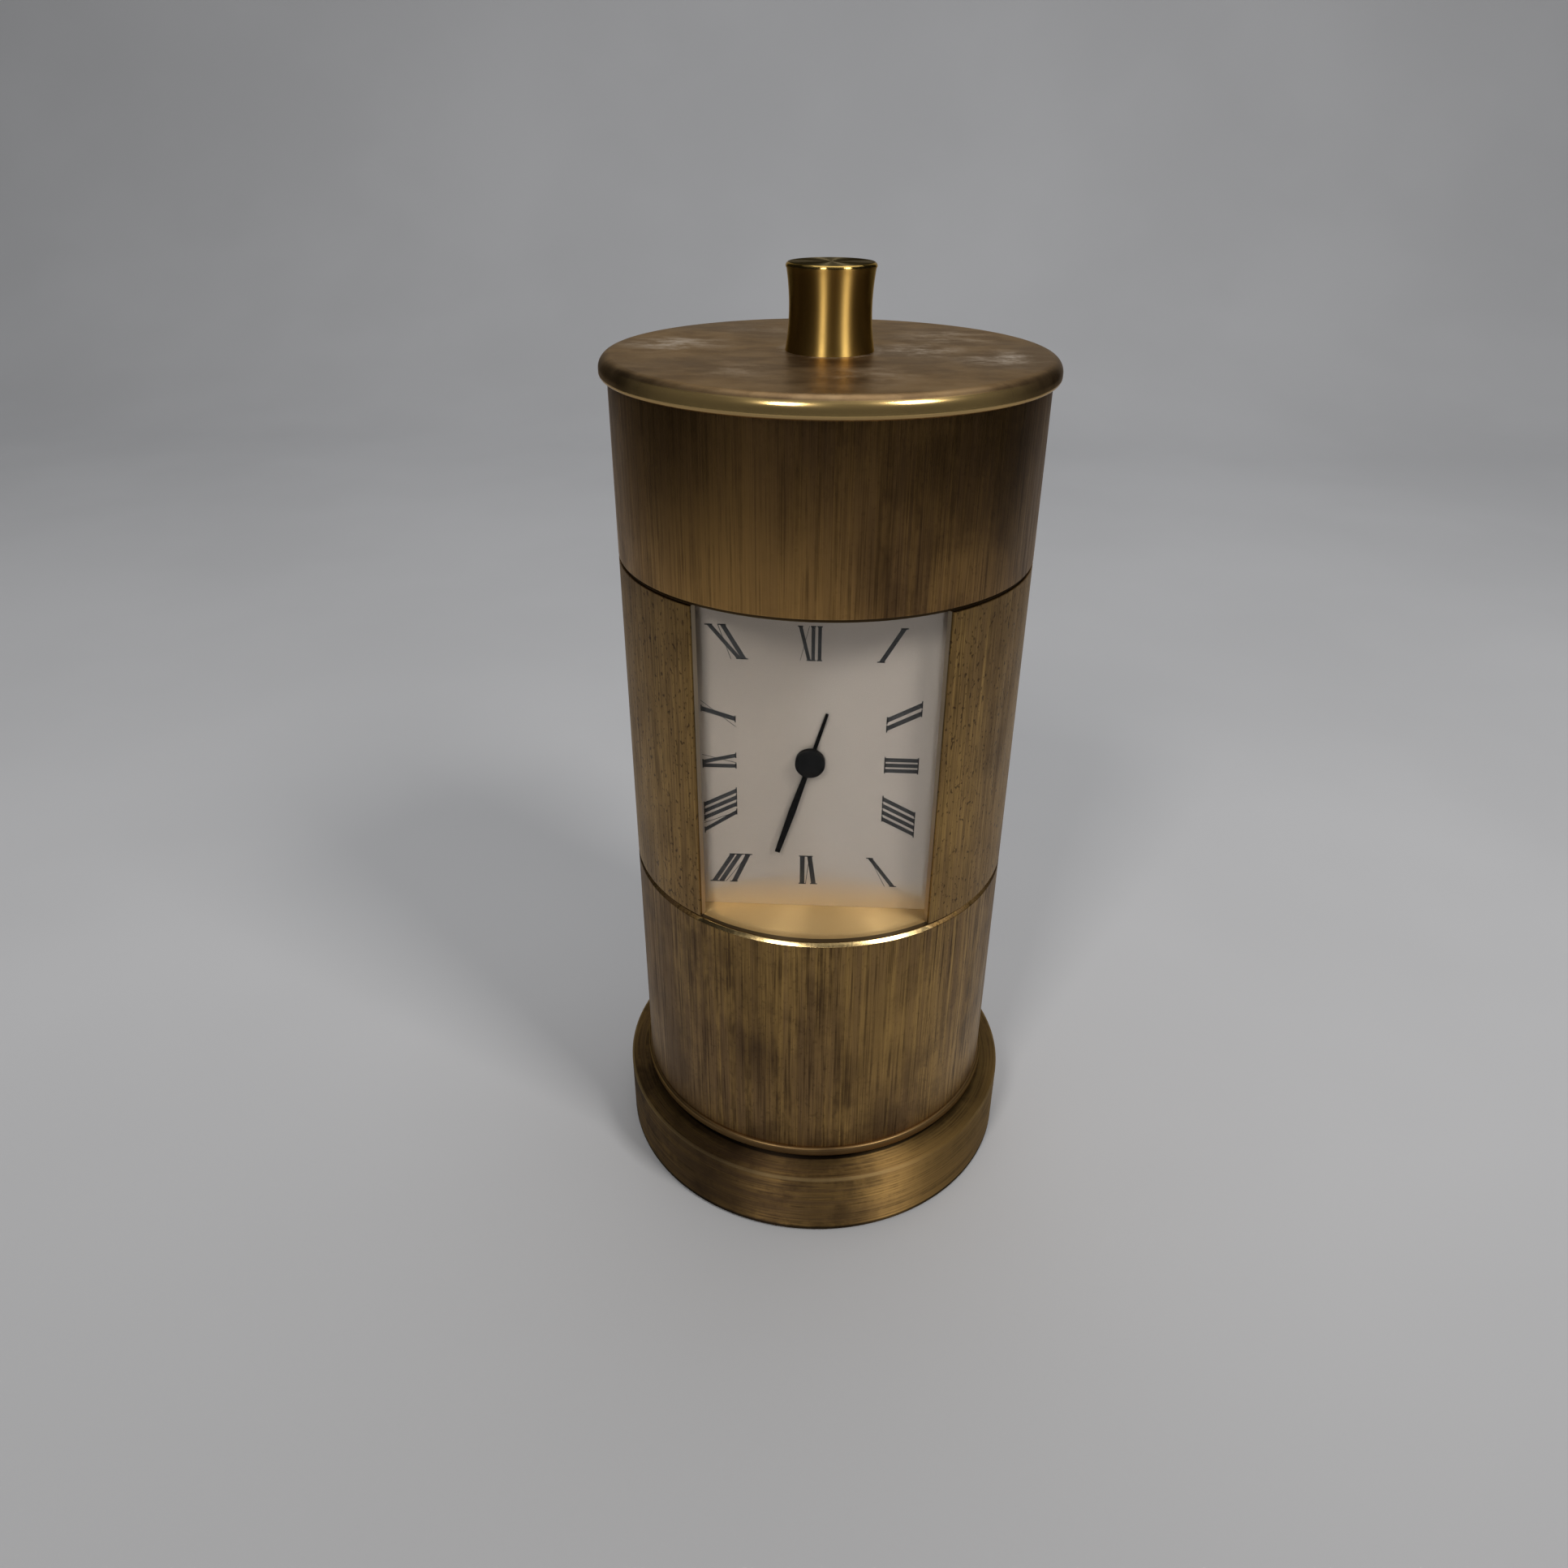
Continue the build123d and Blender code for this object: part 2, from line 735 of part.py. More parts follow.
def make_hand_cap():
    cap = shaft(hub_x, hub_z, hub_radius, cap_front, minute_hand_front)
    cap = fillet(cap.edges().filter_by(GeomType.CIRCLE).sort_by(Axis.Y)[0], cap_round)
    return cap - shaft(hub_x, hub_z, arbor_radius, cap_front + cap_height / 2, minute_hand_front)


def make_lid_disc():
    lid = disc(drum_radius + lid_overhang, lid_low, lid_high)
    lid = fillet(lid.edges().filter_by(GeomType.CIRCLE).sort_by(Axis.Z)[0], lid_low_round)
    lid = fillet(lid.edges().filter_by(GeomType.CIRCLE).sort_by(Axis.Z)[-1], lid_top_round)
    lid -= disc(2 * screw_radius, lid_low, lid_high)
    for x, y in lid_screw_places():
        lid -= post(x, y, screw_radius, lid_low, lid_low - lid_ring_plate + short_screw_length)
    return lid


def make_lid_ring():
    outer = drum_inner - lid_fit
    inner = outer - lid_ring_wall
    ring = tube(outer, inner, lid_low - lid_ring_depth, lid_low - lid_ring_plate)
    ring += tube(outer, outer - lid_ring_flange, lid_low - lid_ring_plate, lid_low)
    for x, y in lid_screw_places():
        ring -= post(x, y, screw_radius, lid_low - lid_ring_plate, lid_low)
    return ring


def make_lid_ring_screws():
    seat = lid_low - lid_ring_plate
    places = lid_screw_places()
    return Compound([Pos(x, y, seat) * Rot(180, 0, 0) * screw(short_screw_length) for x, y in places])


def make_knob():
    waist = (lid_high + knob_high) / 2
    foot = (knob_foot_radius, lid_high)
    top = (knob_top_radius, knob_high)
    side = ThreePointArc(foot, (knob_waist_radius, waist), top)
    rest = Polyline(top, (0, knob_high), (0, lid_high), foot)
    knob = revolve(Plane.XZ * make_face([side.edge(), *rest.edges()]), Axis.Z)
    knob = fillet(knob.edges().filter_by(GeomType.CIRCLE).sort_by(Axis.Z)[-1], knob_edge)
    return knob - disc(2 * screw_radius, lid_high, lid_high + knob_screw_depth)


def make_knob_screw():
    length = lid_thickness + knob_screw_depth
    body = screw(length, 2 * screw_radius, 2 * screw_head_radius, 2 * screw_head_height)
    return Pos(0, 0, lid_low) * Rot(180, 0, 0) * body


pieces = {
    "base_pad": make_base_pad(),
    "base_cover": make_base_cover(),
    "cover_screws": make_cover_screws(),
    "base_plinth": make_base_plinth(),
    "foot_ring": make_foot_ring(),
    "lower_drum": make_lower_drum(),
    "lower_deck": make_lower_deck(),
    "middle_band": make_middle_band(),
    "upper_deck": make_upper_deck(),
    "upper_drum": make_upper_drum(),
    "tie_rods": make_tie_rods(),
    "tie_rod_nuts": make_tie_rod_nuts(),
    "crystal": make_crystal(),
    "dial_plate": make_dial_plate(),
    "dial_feet": make_dial_feet(),
    "dial_screws": make_dial_screws(),
    "front_plate": make_front_plate(),
    "back_plate": make_back_plate(),
    "pillars": make_pillars(),
    "pillar_screws": make_pillar_screws(),
    "centre_arbor": make_centre_arbor(),
    "centre_wheel": make_centre_wheel(),
    "cannon_pinion": make_cannon_pinion(),
    "hour_wheel": make_hour_wheel(),
    "minute_wheel": make_minute_wheel(),
    "minute_pinion": make_minute_pinion(),
    "setting_arbor": make_setting_arbor(),
    "setting_knob": make_setting_knob(),
    "drive_pinion": make_drive_pinion(),
    "motor_unit": make_motor_unit(),
    "circuit_board": make_circuit_board(),
    "board_screws": make_board_screws(),
    "quartz_can": make_quartz_can(),
    "driver_chip": make_driver_chip(),
    "battery_cradle": make_battery_cradle(),
    "cradle_screws": make_cradle_screws(),
    "battery_cell": make_battery_cell(),
    "positive_contact": make_contact(1),
    "negative_contact": make_contact(-1),
    "positive_lead": make_lead(1, high_lead),
    "negative_lead": make_lead(-1, low_lead),
    "hour_hand": make_hour_hand(),
    "minute_hand": make_minute_hand(),
    "hand_cap": make_hand_cap(),
    "lid_disc": make_lid_disc(),
    "lid_ring": make_lid_ring(),
    "lid_ring_screws": make_lid_ring_screws(),
    "knob": make_knob(),
    "knob_screw": make_knob_screw(),
}
for name, shape in pieces.items():
    export_step(shape, f"parts/{name}.step")
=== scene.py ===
"""Upright brass cylinder clock with a curved window, a printed dial and a lift-off lid, in a studio."""

from __future__ import annotations

import json
import logging
import math
from collections.abc import Callable, Sequence
from dataclasses import dataclass
from enum import Enum

import bmesh
import bpy
from mathutils import Matrix, Vector

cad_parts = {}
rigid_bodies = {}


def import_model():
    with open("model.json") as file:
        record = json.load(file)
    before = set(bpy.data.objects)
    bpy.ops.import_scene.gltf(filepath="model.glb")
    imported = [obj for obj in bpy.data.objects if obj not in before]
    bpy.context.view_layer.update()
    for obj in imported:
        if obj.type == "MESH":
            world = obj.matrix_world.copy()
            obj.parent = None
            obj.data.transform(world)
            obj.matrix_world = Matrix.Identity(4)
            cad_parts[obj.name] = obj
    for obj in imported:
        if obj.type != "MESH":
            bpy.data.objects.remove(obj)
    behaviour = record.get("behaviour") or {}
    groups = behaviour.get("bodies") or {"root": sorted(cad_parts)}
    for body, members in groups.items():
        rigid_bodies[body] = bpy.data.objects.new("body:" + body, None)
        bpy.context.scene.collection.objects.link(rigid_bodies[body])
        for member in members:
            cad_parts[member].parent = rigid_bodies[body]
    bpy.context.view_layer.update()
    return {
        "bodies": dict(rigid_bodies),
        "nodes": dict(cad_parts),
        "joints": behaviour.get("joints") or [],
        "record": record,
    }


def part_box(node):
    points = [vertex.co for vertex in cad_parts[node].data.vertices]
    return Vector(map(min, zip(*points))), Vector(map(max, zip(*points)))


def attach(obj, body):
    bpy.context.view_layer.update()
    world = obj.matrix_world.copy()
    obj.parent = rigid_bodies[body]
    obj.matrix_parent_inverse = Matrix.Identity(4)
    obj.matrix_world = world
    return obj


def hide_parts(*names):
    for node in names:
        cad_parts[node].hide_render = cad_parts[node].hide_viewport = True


LOG = logging.getLogger("brass_clock")

MM = 0.001
TURN_STEPS = 192
HOLE_STEPS = 48
QUARTER_TURN = math.pi / 2
MERGE_GAP = 0.002 * MM
EDGE_ANGLE = math.radians(35)
FLAT_ANGLE = math.radians(40)
ACROSS_GRAIN = 0.25

BARE_BRASS = (0.72, 0.52, 0.24)
CUT_BRASS = (0.5, 0.42, 0.31)
# Painted shade: near-black colour laid where shade falls, in grooves, on the window's cut edges and along
# the base's foot.
PAINTED_SHADE = (0.012, 0.008, 0.005)

Outline = Sequence[tuple[float, float]]
Triple = tuple[float, float, float]
Socket = bpy.types.NodeSocket
Material = bpy.types.Material
Piece = bpy.types.Object


# Bench work

def clear_bench() -> None:
    """Leave edit mode and deselect every object."""
    if bpy.context.mode != "OBJECT":
        bpy.ops.object.mode_set(mode="OBJECT")
    bpy.ops.object.select_all(action="DESELECT")


def pick(piece: Piece) -> None:
    """Make one piece the only selected and active one.

    Args:
        piece: The piece.
    """
    clear_bench()
    piece.select_set(True)
    bpy.context.view_layer.objects.active = piece


def start_piece(name: str, add: Callable[..., set[str]], **sizes: object) -> Piece:
    """Add a primitive as the start of a piece.

    Args:
        name: Name of the piece.
        add: Operator that adds the primitive.
        sizes: The operator's settings.

    Returns:
        The new piece.
    """
    clear_bench()
    add(**sizes)
    piece = bpy.context.object
    piece.name = name
    return piece


def open_mesh(piece: Piece) -> None:
    """Enter edit mode on a piece with all of it selected.

    Args:
        piece: The piece.
    """
    pick(piece)
    bpy.ops.object.mode_set(mode="EDIT")
    bpy.ops.mesh.select_all(action="SELECT")


def close_mesh(piece: Piece, merge: bool = True) -> None:
    """Turn the faces outwards and leave edit mode.

    Args:
        piece: The mesh in edit mode.
        merge: Whether points that meet become one first.
    """
    bpy.ops.mesh.select_all(action="SELECT")
    if merge:
        bpy.ops.mesh.remove_doubles(threshold=MERGE_GAP)
    bpy.ops.mesh.normals_make_consistent(inside=False)
    pick(piece)


def thicken(height: float) -> None:
    """Pull all of the open mesh up by a height."""
    bpy.ops.mesh.select_all(action="SELECT")
    bpy.ops.mesh.extrude_region_move(TRANSFORM_OT_translate={"value": (0, 0, height)})


def select_points(piece: Piece, wanted: Callable[[Vector], bool]) -> None:
    """Select, in edit mode, the points that pass a test, with the edges and faces between them.

    Args:
        piece: The mesh in edit mode.
        wanted: Test on a point's place in the mesh.
    """
    bpy.ops.mesh.select_all(action="DESELECT")
    mesh = bmesh.from_edit_mesh(piece.data)
    for point in mesh.verts:
        point.select_set(bool(wanted(point.co)))
    mesh.select_flush(True)
    bmesh.update_edit_mesh(piece.data)


def apply_place(piece: Piece) -> None:
    """Put a piece's place, turn and scale into its mesh."""
    pick(piece)
    bpy.ops.object.transform_apply(location=True, rotation=True, scale=True)


def stand_on_dial(piece: Piece, place: Triple, turn: float = 0.0) -> None:
    """Turn a piece drawn flat, x right and y up, to face the front and put it in place.

    Args:
        piece: The piece, whose own z becomes the front.
        place: Where its origin goes.
        turn: Clockwise turn as seen from the front, in radians.
    """
    upright = Matrix.Rotation(QUARTER_TURN, 4, "X")
    piece.matrix_world = Matrix.Translation(place) @ upright @ Matrix.Rotation(-turn, 4, "Z")
    apply_place(piece)


def modify(piece: Piece, kind: str, **settings: object) -> None:
    """Add a modifier, set it up and apply it.

    Args:
        piece: The piece to change.
        kind: Kind of modifier.
        settings: The modifier's settings.
    """
    pick(piece)
    bpy.ops.object.modifier_add(type=kind)
    modifier = piece.modifiers[-1]
    for name, value in settings.items():
        setattr(modifier, name, value)
    bpy.ops.object.modifier_apply(modifier=modifier.name)


def smooth(piece: Piece) -> None:
    """Shade a piece smooth, with its flats kept flat.

    Args:
        piece: The piece to finish.
    """
    pick(piece)
    bpy.ops.object.shade_smooth_by_angle(angle=FLAT_ANGLE)
    modify(piece, "WEIGHTED_NORMAL", keep_sharp=True)


def soften(piece: Piece, width: float, segments: int = 2) -> None:
    """Round a piece's hard edges, some faces across, and shade its round faces smooth."""
    modify(piece, "BEVEL", width=width, segments=segments, limit_method="ANGLE", angle_limit=EDGE_ANGLE)
    smooth(piece)


def drill(piece: Piece, place: Vector, radius: float, length: float) -> None:
    """Cut a round hole along the depth of a piece.

    Args:
        piece: The piece to drill.
        place: Middle of the hole.
        radius: Radius of the hole.
        length: Length of the drill.
    """
    bit = start_piece(
        "drill_bit", bpy.ops.mesh.primitive_cylinder_add, vertices=HOLE_STEPS, radius=radius,
        depth=length, location=place, rotation=(QUARTER_TURN, 0, 0),
    )
    apply_place(bit)
    modify(piece, "BOOLEAN", operation="DIFFERENCE", solver="EXACT", object=bit)
    bpy.data.objects.remove(bit)


def arc(middle: tuple[float, float], radius: float, start: float, end: float, steps: int = 6) -> Outline:
    """Points of a round stretch in an outline of radius and height.

    Args:
        middle: Radius and height of the arc's middle.
        radius: The arc's own radius.
        start: First angle in degrees, 0 outwards and 90 up.
        end: Last angle in degrees.
        steps: Number of chords.

    Returns:
        The points, both ends included.
    """
    turns = [math.radians(start + (end - start) * step / steps) for step in range(steps + 1)]
    return [(middle[0] + radius * math.cos(turn), middle[1] + radius * math.sin(turn)) for turn in turns]


@dataclass(frozen=True)
class Spread:
    """Stretch of a turn, in radians, counted from +X towards +Y."""

    start: float
    sweep: float

    @property
    def steps(self) -> int:
        """Number of chords at the lathe's fineness."""
        return max(8, round(TURN_STEPS * self.sweep / math.tau))


@dataclass(frozen=True)
class Lathe:
    """Turns outlines of radius and height about the upright axis."""

    steps: int = TURN_STEPS

    def ring(self, name: str, outline: Outline) -> Piece:
        """Turn a closed outline that stays clear of the axis, its last point joined to its first."""
        return self.turn(name, [*outline, outline[0]], "NOTHING")

    def solid(self, name: str, outline: Outline) -> Piece:
        """Turn an outline from the rim of a flat bottom to the rim of a flat top."""
        return self.turn(name, outline, "TRIFAN")

    def turn(self, name: str, outline: Outline, fill: str) -> Piece:
        """Add a circle at an outline's first point and pull it along the rest.

        Args:
            name: Name of the piece.
            outline: Points of radius and height.
            fill: How the first circle is filled.

        Returns:
            The turned piece.
        """
        circle = bpy.ops.mesh.primitive_circle_add
        piece = start_piece(name, circle, vertices=self.steps, radius=outline[0][0], fill_type=fill)
        open_mesh(piece)
        bpy.ops.transform.translate(value=(0, 0, outline[0][1]))
        for (radius, height), (next_radius, next_height) in zip(outline, outline[1:]):
            rise = (0, 0, next_height - height)
            bpy.ops.mesh.extrude_region_move(TRANSFORM_OT_translate={"value": rise})
            share = next_radius / radius
            bpy.ops.transform.resize(value=(share, share, 1), center_override=(0, 0, 0))
        close_mesh(piece)
        return piece

    def sector(
        self, name: str, radii: tuple[float, float], heights: tuple[float, float], spread: Spread
    ) -> Piece:
        """Spin a wall's section about the axis.

        Args:
            name: Name of the piece.
            radii: Inner and outer radius of the wall.
            heights: Lower and upper end.
            spread: Where the wall starts and how far it goes round.

        Returns:
            The curved wall.
        """
        piece = start_piece(name, bpy.ops.mesh.primitive_plane_add, size=1)
        size = Matrix.Diagonal((radii[1] - radii[0], heights[1] - heights[0], 1, 1))
        stand = Matrix.Rotation(QUARTER_TURN, 4, "X")
        place = Matrix.Translation((sum(radii) / 2, 0, sum(heights) / 2))
        piece.matrix_world = Matrix.Rotation(spread.start, 4, "Z") @ place @ stand @ size
        apply_place(piece)
        open_mesh(piece)
        bpy.ops.mesh.spin(steps=spread.steps, angle=-spread.sweep, center=(0, 0, 0), axis=(0, 0, 1))
        close_mesh(piece)
        return piece


# Finishes

class Grain(Enum):
    """Direction of a brushed surface."""

    UPRIGHT = "upright"
    ROUND = "round"


class Recipe:
    """Node tree of one finish, with one main shader."""

    def __init__(self, name: str) -> None:
        """Start a material with a plain shader.

        Args:
            name: Name of the material.
        """
        self.material = bpy.data.materials.new(name)
        self.material.use_nodes = True
        self.tree = self.material.node_tree
        self.shader = next(node for node in self.tree.nodes if node.type == "BSDF_PRINCIPLED")
        self.output = next(node for node in self.tree.nodes if node.type == "OUTPUT_MATERIAL")

    def add(self, kind: str) -> bpy.types.Node:
        """Add a node of a kind."""
        return self.tree.nodes.new(kind)

    def link(self, source: Socket, target: Socket) -> None:
        """Join two sockets."""
        self.tree.links.new(source, target)

    def set(self, **values: float | tuple[float, ...]) -> None:
        """Set constants on the shader, named with underscores for spaces."""
        for name, value in values.items():
            self.shader.inputs[name.replace("_", " ")].default_value = value

    def feed(self, name: str, source: Socket) -> None:
        """Drive one of the shader's inputs."""
        self.link(source, self.shader.inputs[name])

    def measure(
        self, operation: str, first: Socket, second: Socket | Triple | None = None
    ) -> bpy.types.Node:
        """One step of vector arithmetic.

        Args:
            operation: Name of the operation.
            first: First vector.
            second: Second vector, if the operation has one.

        Returns:
            The node.
        """
        node = self.add("ShaderNodeVectorMath")
        node.operation = operation
        self.link(first, node.inputs[0])
        if isinstance(second, tuple):
            node.inputs[1].default_value = second
        elif second is not None:
            self.link(second, node.inputs[1])
        return node

    def place(self, scale: Triple = (1, 1, 1), shift: Triple = (0, 0, 0), turned: bool = False) -> Socket:
        """Object coordinates, scaled and shifted.

        Args:
            scale: Scale along each axis.
            shift: Shift along each axis after scaling.
            turned: Whether the distance from the upright axis is added to the height.

        Returns:
            The vector.
        """
        where = self.add("ShaderNodeTexCoord").outputs["Object"]
        mapping = self.add("ShaderNodeMapping")
        mapping.inputs["Scale"].default_value = scale
        mapping.inputs["Location"].default_value = shift
        if turned:
            rise = self.add("ShaderNodeCombineXYZ")
            self.link(self.radius(), rise.inputs["Z"])
            where = self.measure("ADD", where, rise.outputs["Vector"]).outputs["Vector"]
        self.link(where, mapping.inputs["Vector"])
        return mapping.outputs["Vector"]

    def noise(
        self, scale: Triple, detail: float, roughness: float, shift: Triple = (0, 0, 0),
        turned: bool = False,
    ) -> Socket:
        """Cloudy noise between 0 and 1.

        Args:
            scale: Fineness along each axis.
            detail: Number of finer layers.
            roughness: Strength of the finer layers.
            shift: Shift along each axis.
            turned: Whether the distance from the upright axis is added to the height.

        Returns:
            The noise.
        """
        node = self.add("ShaderNodeTexNoise")
        node.inputs["Scale"].default_value = 1.0
        node.inputs["Detail"].default_value = detail
        node.inputs["Roughness"].default_value = roughness
        self.link(self.place(scale, shift, turned), node.inputs["Vector"])
        return node.outputs["Fac"]

    def span(self, value: Socket, low: float, high: float, start: float = 0.0, end: float = 1.0) -> Socket:
        """Map a stretch of values smoothly to another.

        Args:
            value: The value to map.
            low: Value that gives start.
            high: Value that gives end.
            start: Result at low and beyond.
            end: Result at high and beyond.

        Returns:
            The mapped value.
        """
        node = self.add("ShaderNodeMapRange")
        node.interpolation_type = "SMOOTHSTEP"
        limits = {"From Min": low, "From Max": high, "To Min": start, "To Max": end}
        for name, limit in limits.items():
            node.inputs[name].default_value = limit
        self.link(value, node.inputs["Value"])
        return node.outputs["Result"]

    def above(self, value: Socket, level: float, blur: float, strength: float = 1.0) -> Socket:
        """Strength over a level, fading in just under it."""
        return self.span(value, level - blur, level, 0.0, strength)

    def below(self, value: Socket, level: float, blur: float, strength: float = 1.0) -> Socket:
        """Strength under a level, fading out just under it."""
        return self.span(value, level - blur, level, strength, 0.0)

    def fade(self, share: Socket, start: float, end: float) -> Socket:
        """Go from one number to another as a share goes from 0 to 1."""
        return self.span(share, 0.0, 1.0, start, end)

    def calc(self, operation: str, first: Socket | float, second: Socket | float) -> Socket:
        """One step of arithmetic.

        Args:
            operation: Name of the operation.
            first: First value.
            second: Second value.

        Returns:
            The result.
        """
        node = self.add("ShaderNodeMath")
        node.operation = operation
        for socket, value in zip(node.inputs, (first, second)):
            if isinstance(value, (int, float)):
                socket.default_value = value
            else:
                self.link(value, socket)
        return node.outputs["Value"]

    def times(self, first: Socket | float, second: Socket | float) -> Socket:
        """Product of two values."""
        return self.calc("MULTIPLY", first, second)

    def plus(self, first: Socket | float, second: Socket | float) -> Socket:
        """Sum of two values."""
        return self.calc("ADD", first, second)

    def most(self, first: Socket | float, second: Socket | float) -> Socket:
        """Larger of two values."""
        return self.calc("MAXIMUM", first, second)

    def blend(self, share: Socket, first: Triple | Socket, second: Triple | Socket) -> Socket:
        """Mix two colours.

        Args:
            share: How much of the second colour.
            first: First colour.
            second: Second colour.

        Returns:
            The mixed colour.
        """
        node = self.add("ShaderNodeMix")
        node.data_type = "RGBA"
        self.link(share, node.inputs["Factor"])
        colours = [socket for socket in node.inputs if socket.type == "RGBA"]
        for socket, value in zip(colours, (first, second)):
            if isinstance(value, tuple):
                socket.default_value = (*value, 1.0)
            else:
                self.link(value, socket)
        return next(socket for socket in node.outputs if socket.type == "RGBA")

    def axis(self, name: str) -> Socket:
        """One object coordinate.

        Args:
            name: Letter of the axis.

        Returns:
            The coordinate.
        """
        split = self.add("ShaderNodeSeparateXYZ")
        self.link(self.place(), split.inputs["Vector"])
        return split.outputs[name]

    def height(self) -> Socket:
        """Height above the table."""
        return self.axis("Z")

    def radius(self) -> Socket:
        """Distance from the upright axis."""
        return self.measure("LENGTH", self.place(scale=(1, 1, 0))).outputs["Value"]

    def near(self, place: Vector, reach: float, strength: float) -> Socket:
        """Soft spot round a place, twice as tall as it is wide.

        Args:
            place: Middle of the spot.
            reach: Half width, where it has faded out.
            strength: Value in its middle.

        Returns:
            The spot's strength.
        """
        middle = (place.x, place.y, 0.5 * place.z)
        gap = self.measure("DISTANCE", self.place(scale=(1, 1, 0.5)), middle)
        return self.span(gap.outputs["Value"], 0.0, reach, strength, 0.0)

    def bump(self, height: Socket, depth: float, strength: float) -> None:
        """Emboss the surface.

        Args:
            height: Pattern between 0 and 1.
            depth: Real depth of the pattern.
            strength: Share of it that shows.
        """
        node = self.add("ShaderNodeBump")
        node.inputs["Distance"].default_value = depth
        node.inputs["Strength"].default_value = strength
        self.link(height, node.inputs["Height"])
        self.feed("Normal", node.outputs["Normal"])


@dataclass(frozen=True)
class Finish:
    """Named finish, which each kind mixes in its own way."""

    name: str

    def make(self) -> Material:
        """Mix the finish into a new material.

        Returns:
            The material.
        """
        recipe = Recipe(self.name)
        self.mix(recipe)
        return recipe.material

    def mix(self, recipe: Recipe) -> None:
        """Set up the nodes of the finish in a recipe."""
        raise NotImplementedError


@dataclass(frozen=True)
class Spot:
    """Soft mark on a drum: degrees from the front to the right, height and reach in mm, and strength."""

    heading: float
    height: float
    reach: float
    strength: float

    def on(self, recipe: Recipe, radius: float) -> Socket:
        """Draw the mark.

        Args:
            recipe: The finish in the making.
            radius: Radius of the drum.

        Returns:
            The mark's strength.
        """
        turn = math.radians(self.heading)
        place = Vector((radius * math.sin(turn), -radius * math.cos(turn), self.height * MM))
        return recipe.near(place, self.reach * MM, self.strength)


